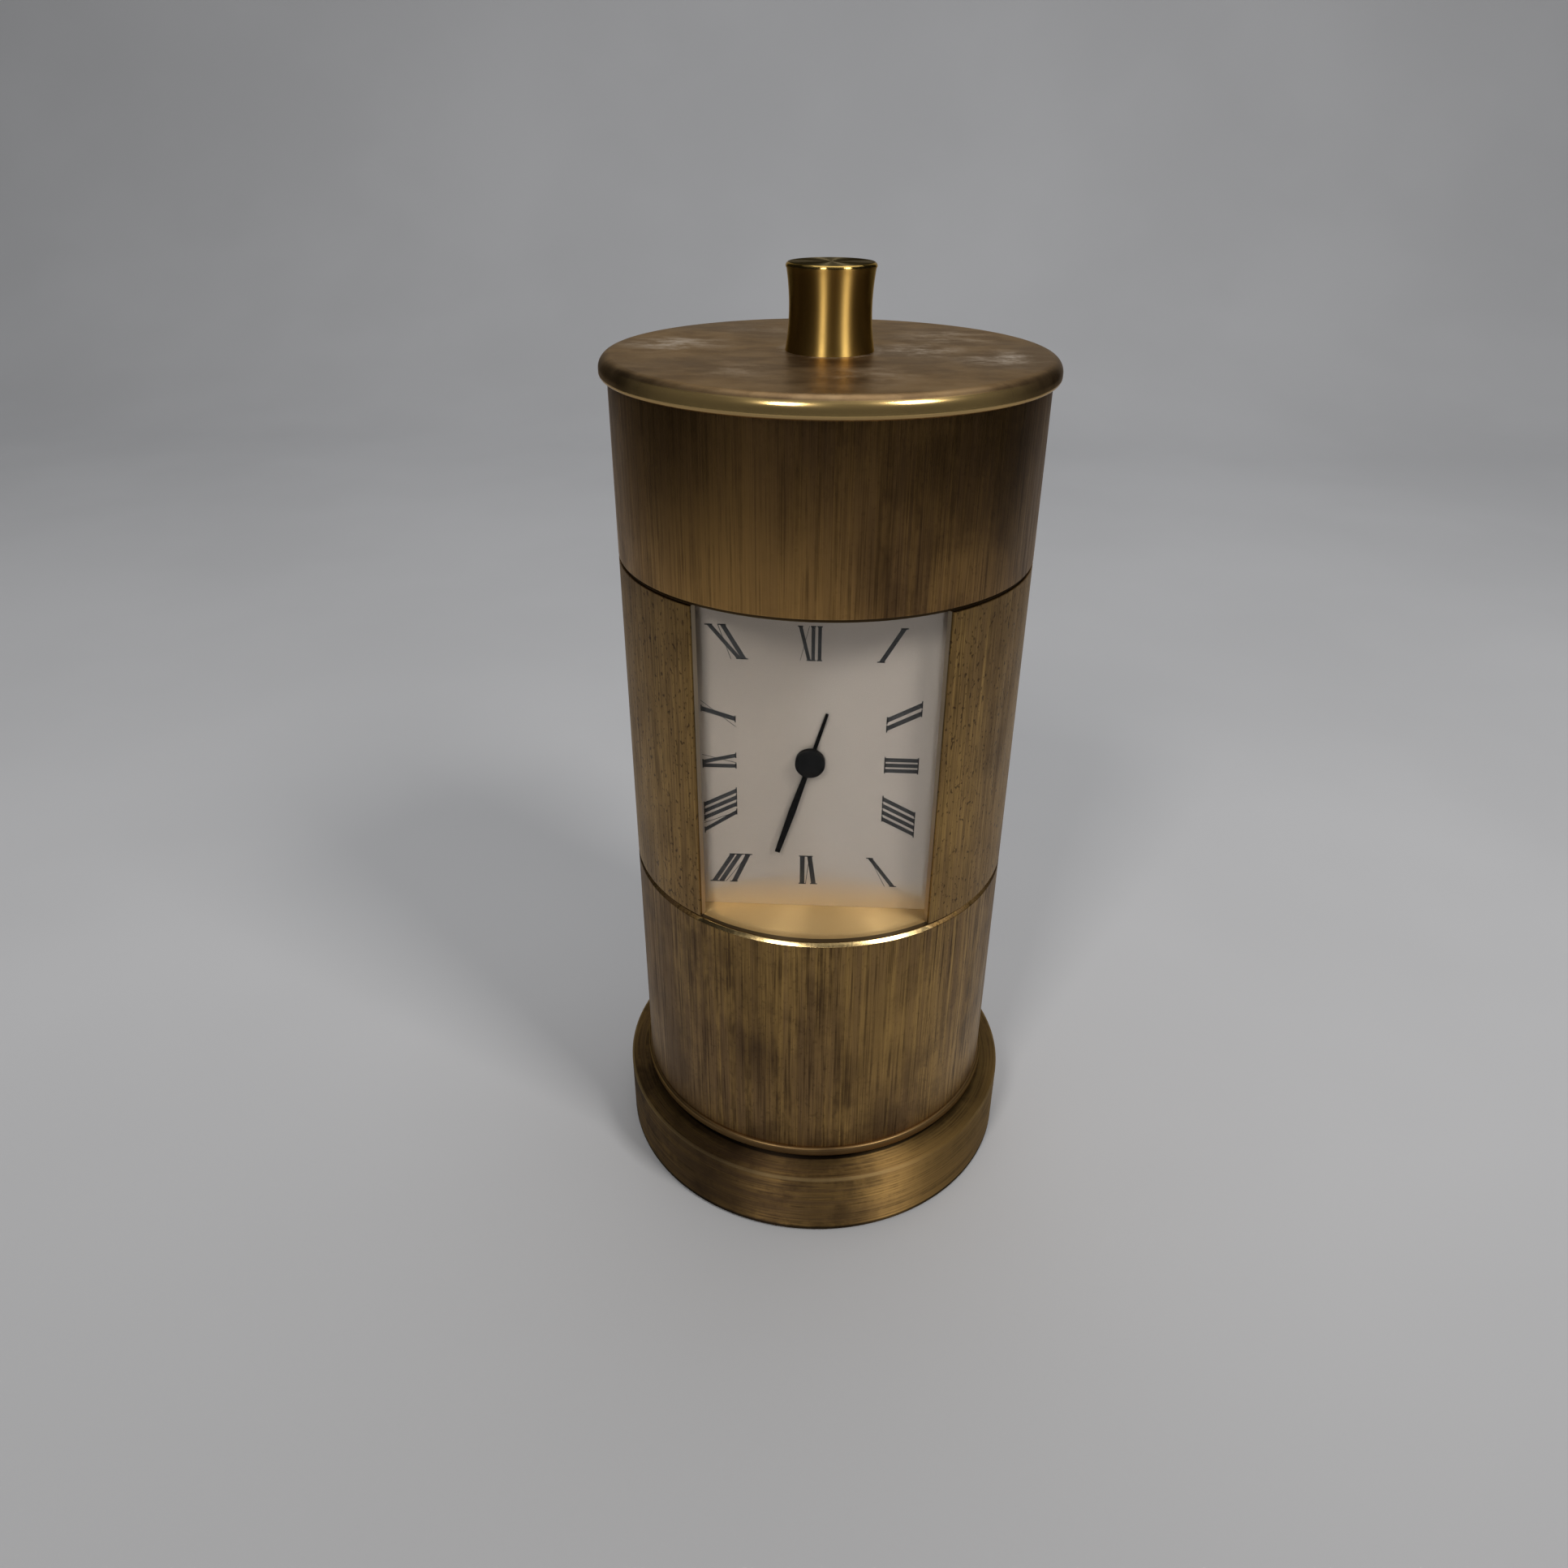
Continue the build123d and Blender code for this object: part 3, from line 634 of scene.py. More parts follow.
@dataclass(frozen=True)
class AgedBrass(Finish):
    """Brushed brass that has dulled: fine grain, brown patina, dark streaks, specks and soft marks.

    Heights and radii say where the finish changes: painted shade inside the shade radius and under
    the foot's shade height, a fresh cut inside cut_radius, a face painted darker over step_height with a
    painted highlight, also read as wear, along its outer edge, and a bright rim over rim_height, in front
    of a depth behind which the rim keeps the aged colour as painted shade. The broad and hair grains
    have their fineness as shares of the fine grain's.
    """

    radius: float
    grain: Grain = Grain.UPRIGHT
    gold: Triple = (0.45, 0.277, 0.092)
    patina: Triple = (0.235, 0.143, 0.067)
    dark: Triple = (0.06, 0.033, 0.017)
    fineness: float = 2400.0
    broad_grain: float = 0.34
    hair_grain: float = 2.8
    grain_length: float = 55.0
    relief: float = 0.014 * MM
    patina_share: float = 0.75
    streak_share: float = 0.6
    speck_share: float = 0.3
    blotch_share: float = 0.0
    spots: tuple[Spot, ...] = ()
    worn: tuple[Spot, ...] = ()
    # Painted shade: darkening inside this radius and under the foot's height stands in for shade in
    # grooves, on cut edges and where the base meets the table.
    shade_radius: float = 0.0
    shade_share: float = 0.9
    cut_radius: float = 0.0
    foot_shade_height: float = -1.0
    step_height: float = 1.0
    rim_height: float = 1.0
    lit_rim_front: float = 0.0
    roughness: float = 0.33
    brushing: float = 0.6
    metallic: float = 1.0
    seed: float = 0.0

    def stretch(self, fineness: float) -> Triple:
        """Scale of a noise that runs along the grain.

        Args:
            fineness: Fineness across the grain.

        Returns:
            The scale along each axis.
        """
        along = fineness / self.grain_length
        if self.grain is Grain.UPRIGHT:
            return (fineness, fineness, along)
        return (along, along, fineness)

    def mix(self, recipe: Recipe) -> None:
        """Mix the finish.

        Args:
            recipe: The finish in the making.
        """
        shift = (self.seed, 1.7 * self.seed, 2.3 * self.seed)
        turned = self.grain is Grain.ROUND
        fine = recipe.noise(self.stretch(self.fineness), 3.0, 0.65, shift, turned)
        broad = recipe.noise(self.stretch(self.broad_grain * self.fineness), 2.0, 0.6, shift, turned)
        hair = recipe.noise(self.stretch(self.hair_grain * self.fineness), 1.0, 0.5, shift, turned)
        cloud = recipe.noise((25, 25, 160) if turned else (44, 44, 30), 4.0, 0.6, shift, turned)
        specks = recipe.noise((1700, 1700, 1100), 1.0, 0.5, shift)
        breaks = recipe.noise((420, 420, 130), 2.0, 0.6, shift)
        blotch = recipe.noise((95, 95, 85), 5.0, 0.65, shift)
        age = recipe.plus(recipe.times(broad, 0.6), recipe.times(cloud, 0.6))
        streaks = recipe.plus(recipe.times(fine, 0.65), recipe.times(broad, 0.35))
        broken = recipe.span(breaks, 0.36, 0.6, 0.25, 1.0)
        stains = (
            recipe.times(recipe.span(streaks, 0.41, 0.53, self.streak_share, 0.0), broken),
            recipe.span(hair, 0.34, 0.6, 0.35, 0.0),
            recipe.span(specks, 0.6, 0.72, 0.0, self.speck_share),
            recipe.span(blotch, 0.45, 0.66, 0.0, self.blotch_share),
            # Painted reflection: the face over the step is darkened, standing in for the dark surroundings
            # it reflects.
            recipe.above(recipe.height(), self.step_height - 0.05 * MM, 0.25 * MM, 0.15),
        )
        colour = recipe.blend(recipe.span(age, 0.47, 0.72, 0.0, self.patina_share), self.gold, self.patina)
        for stain in stains:
            colour = recipe.blend(stain, colour, self.dark)
        # Painted highlight along the step's outer edge, also read as wear.
        colour = recipe.blend(self.worn_edge_highlight(recipe), colour, BARE_BRASS)
        bare = recipe.span(streaks, 0.4, 0.55, 0.4, 1.0)
        colour = recipe.blend(self.marks(recipe, bare, self.worn), colour, self.gold)
        patchy = recipe.span(cloud, 0.25, 0.65, 0.55, 1.0)
        colour = recipe.blend(self.marks(recipe, patchy, self.spots), colour, self.dark)
        # Painted shade in grooves, on cut edges and along the foot.
        colour = recipe.blend(self.dull_and_shade(recipe), colour, PAINTED_SHADE)
        cut = recipe.below(recipe.radius(), self.cut_radius, 0.15 * MM, 0.9)
        colour = recipe.blend(cut, colour, CUT_BRASS)
        # The polished rim is kept to the front, under the window; at the sides it keeps the aged colour as
        # painted shade.
        rim = self.rim(recipe)
        recipe.feed("Base Color", recipe.blend(rim, colour, BARE_BRASS))
        dull = recipe.span(age, 0.45, 0.75, 0.0, 0.14)
        scored = recipe.span(streaks, 0.4, 0.6, 0.1, 0.0)
        satin = recipe.plus(recipe.plus(dull, scored), self.roughness)
        recipe.feed("Roughness", recipe.times(satin, recipe.fade(rim, 1.0, 0.4)))
        recipe.set(Metallic=self.metallic, Anisotropic=self.brushing)
        if turned:
            recipe.set(Anisotropic_Rotation=ACROSS_GRAIN)
        grain = recipe.plus(fine, recipe.times(hair, 0.7))
        recipe.bump(recipe.times(grain, recipe.fade(rim, 1.0, 0.0)), self.relief, 0.8)

    def marks(self, recipe: Recipe, breaks: Socket, spots: tuple[Spot, ...]) -> Socket:
        """Gather soft marks, broken up by a pattern.

        Args:
            recipe: The finish in the making.
            breaks: Pattern between 0 and 1.
            spots: The marks.

        Returns:
            How strong the marks are.
        """
        total = 0.0
        for spot in spots:
            total = recipe.most(total, spot.on(recipe, self.radius))
        return recipe.times(total, breaks)

    def worn_edge_highlight(self, recipe: Recipe) -> Socket:
        """Share of painted highlight, also read as worn metal, along the outer edge of a step.

        Args:
            recipe: The finish in the making.

        Returns:
            The share.
        """
        high = recipe.above(recipe.height(), self.step_height - 0.3 * MM, 0.4 * MM, 0.45)
        far = recipe.above(recipe.radius(), self.radius - 0.25 * MM, 0.35 * MM)
        return recipe.times(high, far)

    def dull_and_shade(self, recipe: Recipe) -> Socket:
        """Share of painted shade, inside a radius and under a height.

        Args:
            recipe: The finish in the making.

        Returns:
            The share.
        """
        inside = recipe.below(recipe.radius(), self.shade_radius, 0.4 * MM, self.shade_share)
        foot = recipe.below(recipe.height(), self.foot_shade_height, 0.35 * MM, 0.85)
        return recipe.most(inside, foot)

    def rim(self, recipe: Recipe) -> Socket:
        """Share of bare polished rim, over a height and in front of a depth; behind that depth the rim
        keeps the aged colour as painted shade.

        Args:
            recipe: The finish in the making.

        Returns:
            The share.
        """
        high = recipe.above(recipe.height(), self.rim_height, 0.05 * MM)
        front = recipe.below(recipe.axis("Y"), self.lit_rim_front + 1 * MM, 1 * MM)
        return recipe.times(high, front)


@dataclass(frozen=True)
class PolishedBrass(Finish):
    """Turned brass with faint lathe lines and some tarnish, with painted shade outside a radius, on a
    flange in a groove, and dull on its top.
    """

    gold: Triple = (0.8, 0.5, 0.125)
    tarnish: Triple = (0.42, 0.25, 0.08)
    dull: Triple = (0.083, 0.067, 0.037)
    # Painted shade: colour of the flange where it sits in the shade of the groove between drums.
    seam_shade: Triple = (0.1, 0.065, 0.03)
    tint: Triple = (0.85, 0.7, 0.45)
    roughness: float = 0.16
    brushing: float = 0.3
    metallic: float = 1.0
    line_pitch: float = 0.12 * MM
    line_depth: float = 0.003 * MM
    tarnish_share: float = 0.4
    seam_radius: float = 1.0
    top: float = 1.0

    def mix(self, recipe: Recipe) -> None:
        """Mix the finish.

        Args:
            recipe: The finish in the making.
        """
        lines = recipe.noise((25, 25, 1 / self.line_pitch), 2.0, 0.6, turned=True)
        cloud = recipe.noise((90, 90, 90), 3.0, 0.6)
        worn = recipe.times(recipe.span(cloud, 0.4, 0.75), recipe.span(lines, 0.3, 0.6, 1.0, 0.5))
        colour = recipe.blend(recipe.times(worn, self.tarnish_share), self.gold, self.tarnish)
        dull = recipe.above(recipe.height(), self.top, 0.1 * MM)
        colour = recipe.blend(dull, colour, self.dull)
        # Painted shade outside the flange's radius, in the groove.
        seam_shade = recipe.above(recipe.radius(), self.seam_radius, 0.05 * MM)
        recipe.feed("Base Color", recipe.blend(seam_shade, colour, self.seam_shade))
        satin = recipe.span(recipe.plus(lines, cloud), 0.7, 1.3, self.roughness, self.roughness + 0.08)
        edge = recipe.above(recipe.height(), self.top - 0.45 * MM, 0.15 * MM)
        satin = recipe.times(satin, recipe.fade(edge, 1.0, 0.45))
        # Rougher on the dull top and in the painted shade of the groove.
        dull_and_shade = recipe.most(recipe.times(dull, 0.45), recipe.times(seam_shade, 0.2))
        recipe.feed("Roughness", recipe.plus(satin, dull_and_shade))
        recipe.set(Metallic=self.metallic, Specular_Tint=(*self.tint, 1.0))
        recipe.set(Anisotropic=self.brushing, Anisotropic_Rotation=ACROSS_GRAIN)
        recipe.bump(lines, self.line_depth, 0.5)


@dataclass(frozen=True)
class LidBrass(Finish):
    """Dull top with dusty places and a polished front edge, whose lower rounding is polished all round; the
    edge's flanks keep the dull colour as a painted dark reflection.

    Each dusty place has its x, y and reach in mm, and its strength.
    """

    top: float
    bend: float
    gold: Triple = (0.72, 0.5, 0.2)
    lower_gold: Triple = (0.46, 0.31, 0.13)
    brown: Triple = (0.18, 0.112, 0.058)
    olive: Triple = (0.31, 0.195, 0.09)
    dust: Triple = (0.4, 0.33, 0.25)
    tint: Triple = (0.84, 0.7, 0.53)
    relief: float = 0.003 * MM
    knob_foot: float = 7.3 * MM
    # Painted reflection: behind this depth the edge's flanks keep the dull colour, standing in for the dark
    # room they reflect.
    shaded_flank_start: float = -18 * MM
    shaded_flank_fade: float = 14 * MM
    dusty: tuple[tuple[float, float, float, float], ...] = (
        (-26, 4, 14, 1.0), (15, 1, 11, 1.0), (27, -6, 12, 1.0), (6, -22, 14, 0.5),
        (-14, -19, 12, 0.45), (20, 14, 16, 0.6), (-12, 20, 14, 0.4),
    )

    def mix(self, recipe: Recipe) -> None:
        """Mix the finish.

        Args:
            recipe: The finish in the making.
        """
        cloud = recipe.noise((45, 45, 45), 4.0, 0.6)
        smear = recipe.noise((130, 210, 100), 5.0, 0.68, (3, 1, 0))
        fine = recipe.noise((1100, 1100, 1100), 2.0, 0.6)
        dust = self.dust_share(recipe, smear)
        dust = recipe.times(dust, recipe.span(fine, 0.25, 0.65, 0.55, 1.0))
        upper = recipe.above(recipe.height(), self.bend, 0.2 * MM)
        # Painted dark reflection on the flanks: the edge is polished only in front.
        front = recipe.below(recipe.axis("Y"), self.shaded_flank_start, self.shaded_flank_fade)
        side = recipe.below(recipe.height(), self.top - 0.6 * MM, 0.3 * MM)
        polished = recipe.times(side, recipe.most(front, recipe.fade(upper, 1.0, 0.0)))
        mottle = recipe.plus(recipe.times(cloud, 0.45), recipe.times(smear, 0.55))
        flat = recipe.blend(recipe.span(mottle, 0.38, 0.6), self.brown, self.olive)
        flat = recipe.blend(dust, flat, self.dust)
        edge = recipe.blend(recipe.fade(upper, 0.0, 1.0), self.lower_gold, self.gold)
        recipe.feed("Base Color", recipe.blend(polished, flat, edge))
        satin = recipe.span(cloud, 0.3, 0.7, 0.33, 0.42)
        recipe.feed("Roughness", recipe.times(satin, recipe.fade(polished, 1.0, 0.5)))
        matte = recipe.times(dust, recipe.fade(polished, 1.0, 0.0))
        bare = recipe.fade(polished, 0.95, 0.84)
        recipe.feed("Metallic", recipe.times(bare, recipe.fade(matte, 1.0, 0.21)))
        recipe.set(Specular_Tint=(*self.tint, 1.0))
        recipe.bump(fine, self.relief, 0.5)

    def dust_share(self, recipe: Recipe, smear: Socket) -> Socket:
        """Share of dust, round the knob and at the dusty places.

        Args:
            recipe: The finish in the making.
            smear: Smeared noise that breaks the dust up.

        Returns:
            The share.
        """
        ring = recipe.plus(recipe.radius(), recipe.span(smear, 0.3, 0.7, -1.2 * MM, 1.2 * MM))
        dust = recipe.span(ring, self.knob_foot + 0.6 * MM, self.knob_foot + 2.6 * MM, 0.85, 0.12)
        for x, y, reach, strength in self.dusty:
            place = Vector((x * MM, y * MM, self.top))
            dust = recipe.most(dust, recipe.near(place, reach * MM, strength))
        return recipe.times(dust, recipe.span(smear, 0.36, 0.66))


@dataclass(frozen=True)
class SatinDial(Finish):
    """Satin cream-white over metal, with a soft sheen, painted darker at the left and lighter at the right
    against the window edge's shadow, and with a painted golden reflection of the sill at its foot.
    """

    foot: float
    white: Triple = (0.465, 0.406, 0.353)
    # Painted shade and light: darker colour at the left, with the right lifted against the shadow of the
    # window's edge.
    shaded_left: Triple = (0.415, 0.357, 0.3)
    # Painted reflection: golden glow of the brass sill on the dial's foot.
    sill_reflection: Triple = (0.55, 0.41, 0.24)
    sill_reflection_reach: float = 7 * MM
    relief: float = 0.0006 * MM
    metallic: float = 0.4

    def mix(self, recipe: Recipe) -> None:
        """Mix the finish.

        Args:
            recipe: The finish in the making.
        """
        cloud = recipe.noise((60, 60, 60), 3.0, 0.5)
        fine = recipe.noise((3500, 3500, 3500), 1.0, 0.5)
        # Painted light across the dial: darker at the left, lighter at the right.
        tone = recipe.plus(recipe.axis("X"), recipe.span(cloud, 0.3, 0.7, -2 * MM, 2 * MM))
        colour = recipe.blend(recipe.span(tone, -7 * MM, 5 * MM), self.shaded_left, self.white)
        # Painted reflection of the golden sill, strongest at the foot.
        age = recipe.span(recipe.height(), self.foot, self.foot + self.sill_reflection_reach, 0.9, 0.0)
        recipe.feed("Base Color", recipe.blend(age, colour, self.sill_reflection))
        recipe.feed("Roughness", recipe.span(cloud, 0.3, 0.7, 0.15, 0.18))
        recipe.set(Metallic=self.metallic)
        recipe.bump(fine, self.relief, 0.3)


@dataclass(frozen=True)
class Coat(Finish):
    """Paint, plastic, rubber or plain metal with a fine texture."""

    colour: Triple
    worn: Triple
    roughness: float
    metallic: float = 0.0
    depth: float = 0.006 * MM
    gloss: float = 0.5

    def mix(self, recipe: Recipe) -> None:
        """Mix the finish.

        Args:
            recipe: The finish in the making.
        """
        fine = recipe.noise((1200, 1200, 1200), 2.0, 0.6)
        cloud = recipe.noise((120, 120, 120), 2.0, 0.5)
        recipe.feed("Base Color", recipe.blend(recipe.span(cloud, 0.35, 0.7), self.colour, self.worn))
        recipe.feed("Roughness", recipe.span(fine, 0.3, 0.7, self.roughness - 0.06, self.roughness + 0.06))
        recipe.set(Metallic=self.metallic, Specular_IOR_Level=self.gloss)
        recipe.bump(fine, self.depth, 0.5)


@dataclass(frozen=True)
class ClearCrystal(Finish):
    """Clear acrylic that lets lamps through, with faint hairline wear."""

    tint: Triple = (0.97, 0.975, 0.97)
    index: float = 1.14

    def mix(self, recipe: Recipe) -> None:
        """Mix the finish.

        Args:
            recipe: The finish in the making.
        """
        wear = recipe.noise((300, 300, 300), 2.0, 0.6)
        recipe.feed("Roughness", recipe.span(wear, 0.3, 0.8, 0.01, 0.014))
        recipe.set(Base_Color=(*self.tint, 1.0), Transmission_Weight=1.0, IOR=self.index)
        passing = recipe.add("ShaderNodeBsdfTransparent")
        path = recipe.add("ShaderNodeLightPath")
        mix = recipe.add("ShaderNodeMixShader")
        recipe.link(path.outputs["Is Shadow Ray"], mix.inputs["Fac"])
        recipe.link(recipe.shader.outputs["BSDF"], mix.inputs[1])
        recipe.link(passing.outputs["BSDF"], mix.inputs[2])
        recipe.link(mix.outputs["Shader"], recipe.output.inputs["Surface"])


@dataclass(frozen=True)
class SweepGrey(Finish):
    """Matte grey of the studio's sweep, with a painted shadow that makes it a little darker in front."""

    grey: Triple = (0.56, 0.56, 0.57)
    lighter: float = 1.06
    # Painted shadow: share of the grey kept towards the camera, standing in for the shade near it.
    darker: float = 0.82
    front: tuple[float, float] = (-0.16, 0.06)

    def mix(self, recipe: Recipe) -> None:
        """Mix the finish.

        Args:
            recipe: The finish in the making.
        """
        lighter = tuple(self.lighter * part for part in self.grey)
        darker = tuple(self.darker * part for part in self.grey)
        cloud = recipe.noise((6, 6, 6), 3.0, 0.5)
        colour = recipe.blend(recipe.span(cloud, 0.3, 0.7), self.grey, lighter)
        # Painted shadow towards the front.
        front = recipe.span(recipe.axis("Y"), *self.front, 1.0, 0.0)
        recipe.feed("Base Color", recipe.blend(front, colour, darker))
        recipe.set(Roughness=0.7, Specular_IOR_Level=0.0)


def dress(piece: Piece, finish: Material) -> None:
    """Give all of a piece one finish.

    Args:
        piece: The piece.
        finish: The material.
    """
    if not piece.material_slots:
        piece.data.materials.append(finish)
    for place in piece.material_slots:
        place.material = finish


def dress_node(frame: dict, node: str, finish: Material) -> None:
    """Give a node of the frame that keeps its mesh one finish."""
    dress(frame["nodes"][node], finish)
    LOG.info("%s: frame mesh in %s", node, finish.name)


def hand_over(piece: Piece, finish: Material, body: str, slot: str, *nodes: str) -> None:
    """Dress a finished piece and let it ride on a body in place of frame nodes.

    Args:
        piece: The finished piece.
        finish: Its material.
        body: Body that it moves with.
        slot: Material slot of the record; not used.
        nodes: Frame nodes that it stands for.
    """
    dress(piece, finish)
    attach(piece, body)
    if nodes:
        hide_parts(*nodes)
    LOG.info("%s: %d faces", piece.name, len(piece.data.polygons))


# Sub-assemblies

@dataclass
class CaseShell:
    """Base, foot ring, two drums, window band and the finishes of the decks between them."""

    wall: float = 1.5 * MM
    base_wall: float = 3 * MM
    base_step: float = 14.6 * MM
    base_edge: float = 0.35 * MM
    neck: float = 34.8 * MM
    floor_hole: float = 22 * MM
    bead_round: float = 0.5 * MM
    rim_chamfer: float = 0.6 * MM
    rim_edge: float = 0.1 * MM
    tube_edge: float = 0.12 * MM
    half_window: float = math.radians(34.55)
    arbor_hole: float = 1.6 * MM
    arbor_drill: float = 8 * MM
    seam_depth: float = 0.02 * MM
    lathe: Lathe = Lathe()

    def build(self, frame: dict) -> None:
        """Build and dress every piece of the shell.

        Args:
            frame: The loaded frame.
        """
        self.build_base()
        self.build_foot_ring()
        self.build_lower_drum()
        self.build_window_band()
        self.build_upper_drum()
        self.dress_decks(frame)

    def build_base(self) -> None:
        """Turn the stepped base with its neck."""
        low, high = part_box("base_plinth")
        radius = high.x
        bore = radius - self.base_wall
        step = self.base_step
        ceiling = step - self.base_wall
        outline = [
            (bore, low.z), (radius, low.z), (radius, step), (self.neck, step), (self.neck, high.z),
            (self.floor_hole, high.z), (self.floor_hole, ceiling), (bore, ceiling),
        ]
        base = self.lathe.ring("base_turned", outline)
        soften(base, self.base_edge, 3)
        # Painted shade in the groove at the neck and along the foot, and the face over the step painted
        # darker for its dark reflection. The worn gold at the right is partly wear and partly a painted
        # highlight where the lamp's reflection falls.
        finish = AgedBrass(
            "base_brass", radius, Grain.ROUND, fineness=2300.0, speck_share=0.1, blotch_share=0.6,
            spots=(Spot(-22, 7, 30, 0.8),), worn=(Spot(44, 8, 30, 1.0), Spot(78, 12, 26, 0.9)),
            shade_radius=self.neck + 0.8 * MM, foot_shade_height=low.z + 1.1 * MM, step_height=step,
            roughness=0.56, brushing=0.99, metallic=0.92, seed=5.0,
        )
        hand_over(base, finish.make(), "case", "aged_brass", "base_plinth")

    def build_foot_ring(self) -> None:
        """Turn the thin bead under the lower drum."""
        low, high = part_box("foot_ring")
        drum_low, drum_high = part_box("lower_drum")
        radius = high.x
        top = drum_low.z
        bend = self.bead_round
        spigot = drum_high.x - self.wall
        bore = spigot - self.wall
        outline = [
            (self.floor_hole, low.z), *arc((radius - bend, low.z + bend), bend, -90, 0),
            *arc((radius - bend, top - bend), bend, 0, 90), (spigot, top), (spigot, high.z),
            (bore, high.z), (bore, top), (self.floor_hole, top),
        ]
        ring = self.lathe.ring("foot_bead", outline)
        smooth(ring)
        finish = PolishedBrass(
            "bead_brass", (0.25, 0.155, 0.065), (0.1, 0.06, 0.03), roughness=0.4, tarnish_share=0.8
        )
        hand_over(ring, finish.make(), "case", "polished_brass", "foot_ring")

    def build_lower_drum(self) -> None:
        """Turn the lower drum, whose chamfered rim is bright under the window and left aged at the sides as
        painted shade.
        """
        low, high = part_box("lower_drum")
        outer = high.x
        inner = outer - self.wall
        cut = self.rim_chamfer
        outline = [
            (inner, low.z), (outer, low.z), (outer, high.z - cut), (outer - cut, high.z), (inner, high.z),
        ]
        drum = self.lathe.ring("lower_drum_tube", outline)
        soften(drum, self.rim_edge)
        dark_marks = (
            Spot(-19, 57, 9, 0.6), Spot(-17, 43, 8, 0.6), Spot(-44, 58, 12, 0.4), Spot(21, 24, 6, 0.5),
            Spot(-52, 30, 12, 0.45),
        )
        finish = AgedBrass(
            "lower_drum_brass", outer, fineness=2000.0, grain_length=75.0, patina_share=0.85,
            streak_share=0.72, blotch_share=0.4, spots=dark_marks, worn=(Spot(22, 48, 16, 0.5),),
            rim_height=high.z - 0.9 * cut, lit_rim_front=-outer * math.cos(self.half_window), seed=11.0,
        )
        hand_over(drum, finish.make(), "case", "aged_brass", "lower_drum")

    def build_window_band(self) -> None:
        """Spin the band round from one side of the window to the other."""
        low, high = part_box("middle_band")
        outer = high.x
        spread = Spread(self.half_window - QUARTER_TURN, math.tau - 2 * self.half_window)
        band = self.lathe.sector("window_band", (outer - self.wall, outer), (low.z, high.z), spread)
        soften(band, self.tube_edge)
        arbor_low, arbor_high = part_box("setting_arbor")
        middle = (arbor_low + arbor_high) / 2
        drill(band, Vector((middle.x, outer, middle.z)), self.arbor_hole, self.arbor_drill)
        # Painted shade on the window's cut edges and on the band's faces in the grooves.
        finish = AgedBrass(
            "band_brass", outer, patina_share=0.6, streak_share=0.4, speck_share=0.75, blotch_share=0.2,
            spots=(Spot(58, 100, 9, 0.35), Spot(-60, 72, 10, 0.4)), shade_radius=outer - 0.05 * MM,
            shade_share=0.6, cut_radius=outer - 0.4 * MM, seed=23.0,
        )
        hand_over(band, finish.make(), "case", "aged_brass", "middle_band")

    def build_upper_drum(self) -> None:
        """Turn the upper drum that holds the battery space."""
        low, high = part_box("upper_drum")
        outer = high.x
        inner = outer - self.wall
        outline = [(inner, low.z), (outer, low.z), (outer, high.z), (inner, high.z)]
        drum = self.lathe.ring("upper_drum_tube", outline)
        soften(drum, self.tube_edge)
        # The dark marks high on the drum and the worn gold low at the left are partly patina and partly
        # painted reflection: dark where the drum reflects the dark room, gold where it reflects the pale
        # floor.
        dark_marks = (
            Spot(-36, 155, 15, 0.6), Spot(0, 161, 16, 0.4), Spot(34, 150, 18, 0.6), Spot(52, 140, 18, 0.9),
            Spot(14, 139, 6, 0.4),
        )
        finish = AgedBrass(
            "upper_drum_brass", outer, gold=(0.5, 0.288, 0.098), patina=(0.235, 0.136, 0.066),
            grain_length=80.0, streak_share=0.55, speck_share=0.2, blotch_share=0.3, spots=dark_marks,
            worn=(Spot(-28, 134, 22, 1.0), Spot(-2, 132, 14, 0.7)), roughness=0.3, seed=31.0,
        )
        hand_over(drum, finish.make(), "case", "aged_brass", "upper_drum")

    def dress_decks(self, frame: dict) -> None:
        """Polish the decks, with painted shade in the grooves that their flanges make.

        Args:
            frame: The loaded frame.
        """
        for node in ("lower_deck", "upper_deck"):
            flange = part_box(node)[1].x
            finish = PolishedBrass(
                node + "_brass", (0.445, 0.3, 0.13), roughness=0.33, brushing=0.97, metallic=0.5,
                tarnish_share=0.1, seam_radius=flange - self.seam_depth,
            )
            dress_node(frame, node, finish.make())


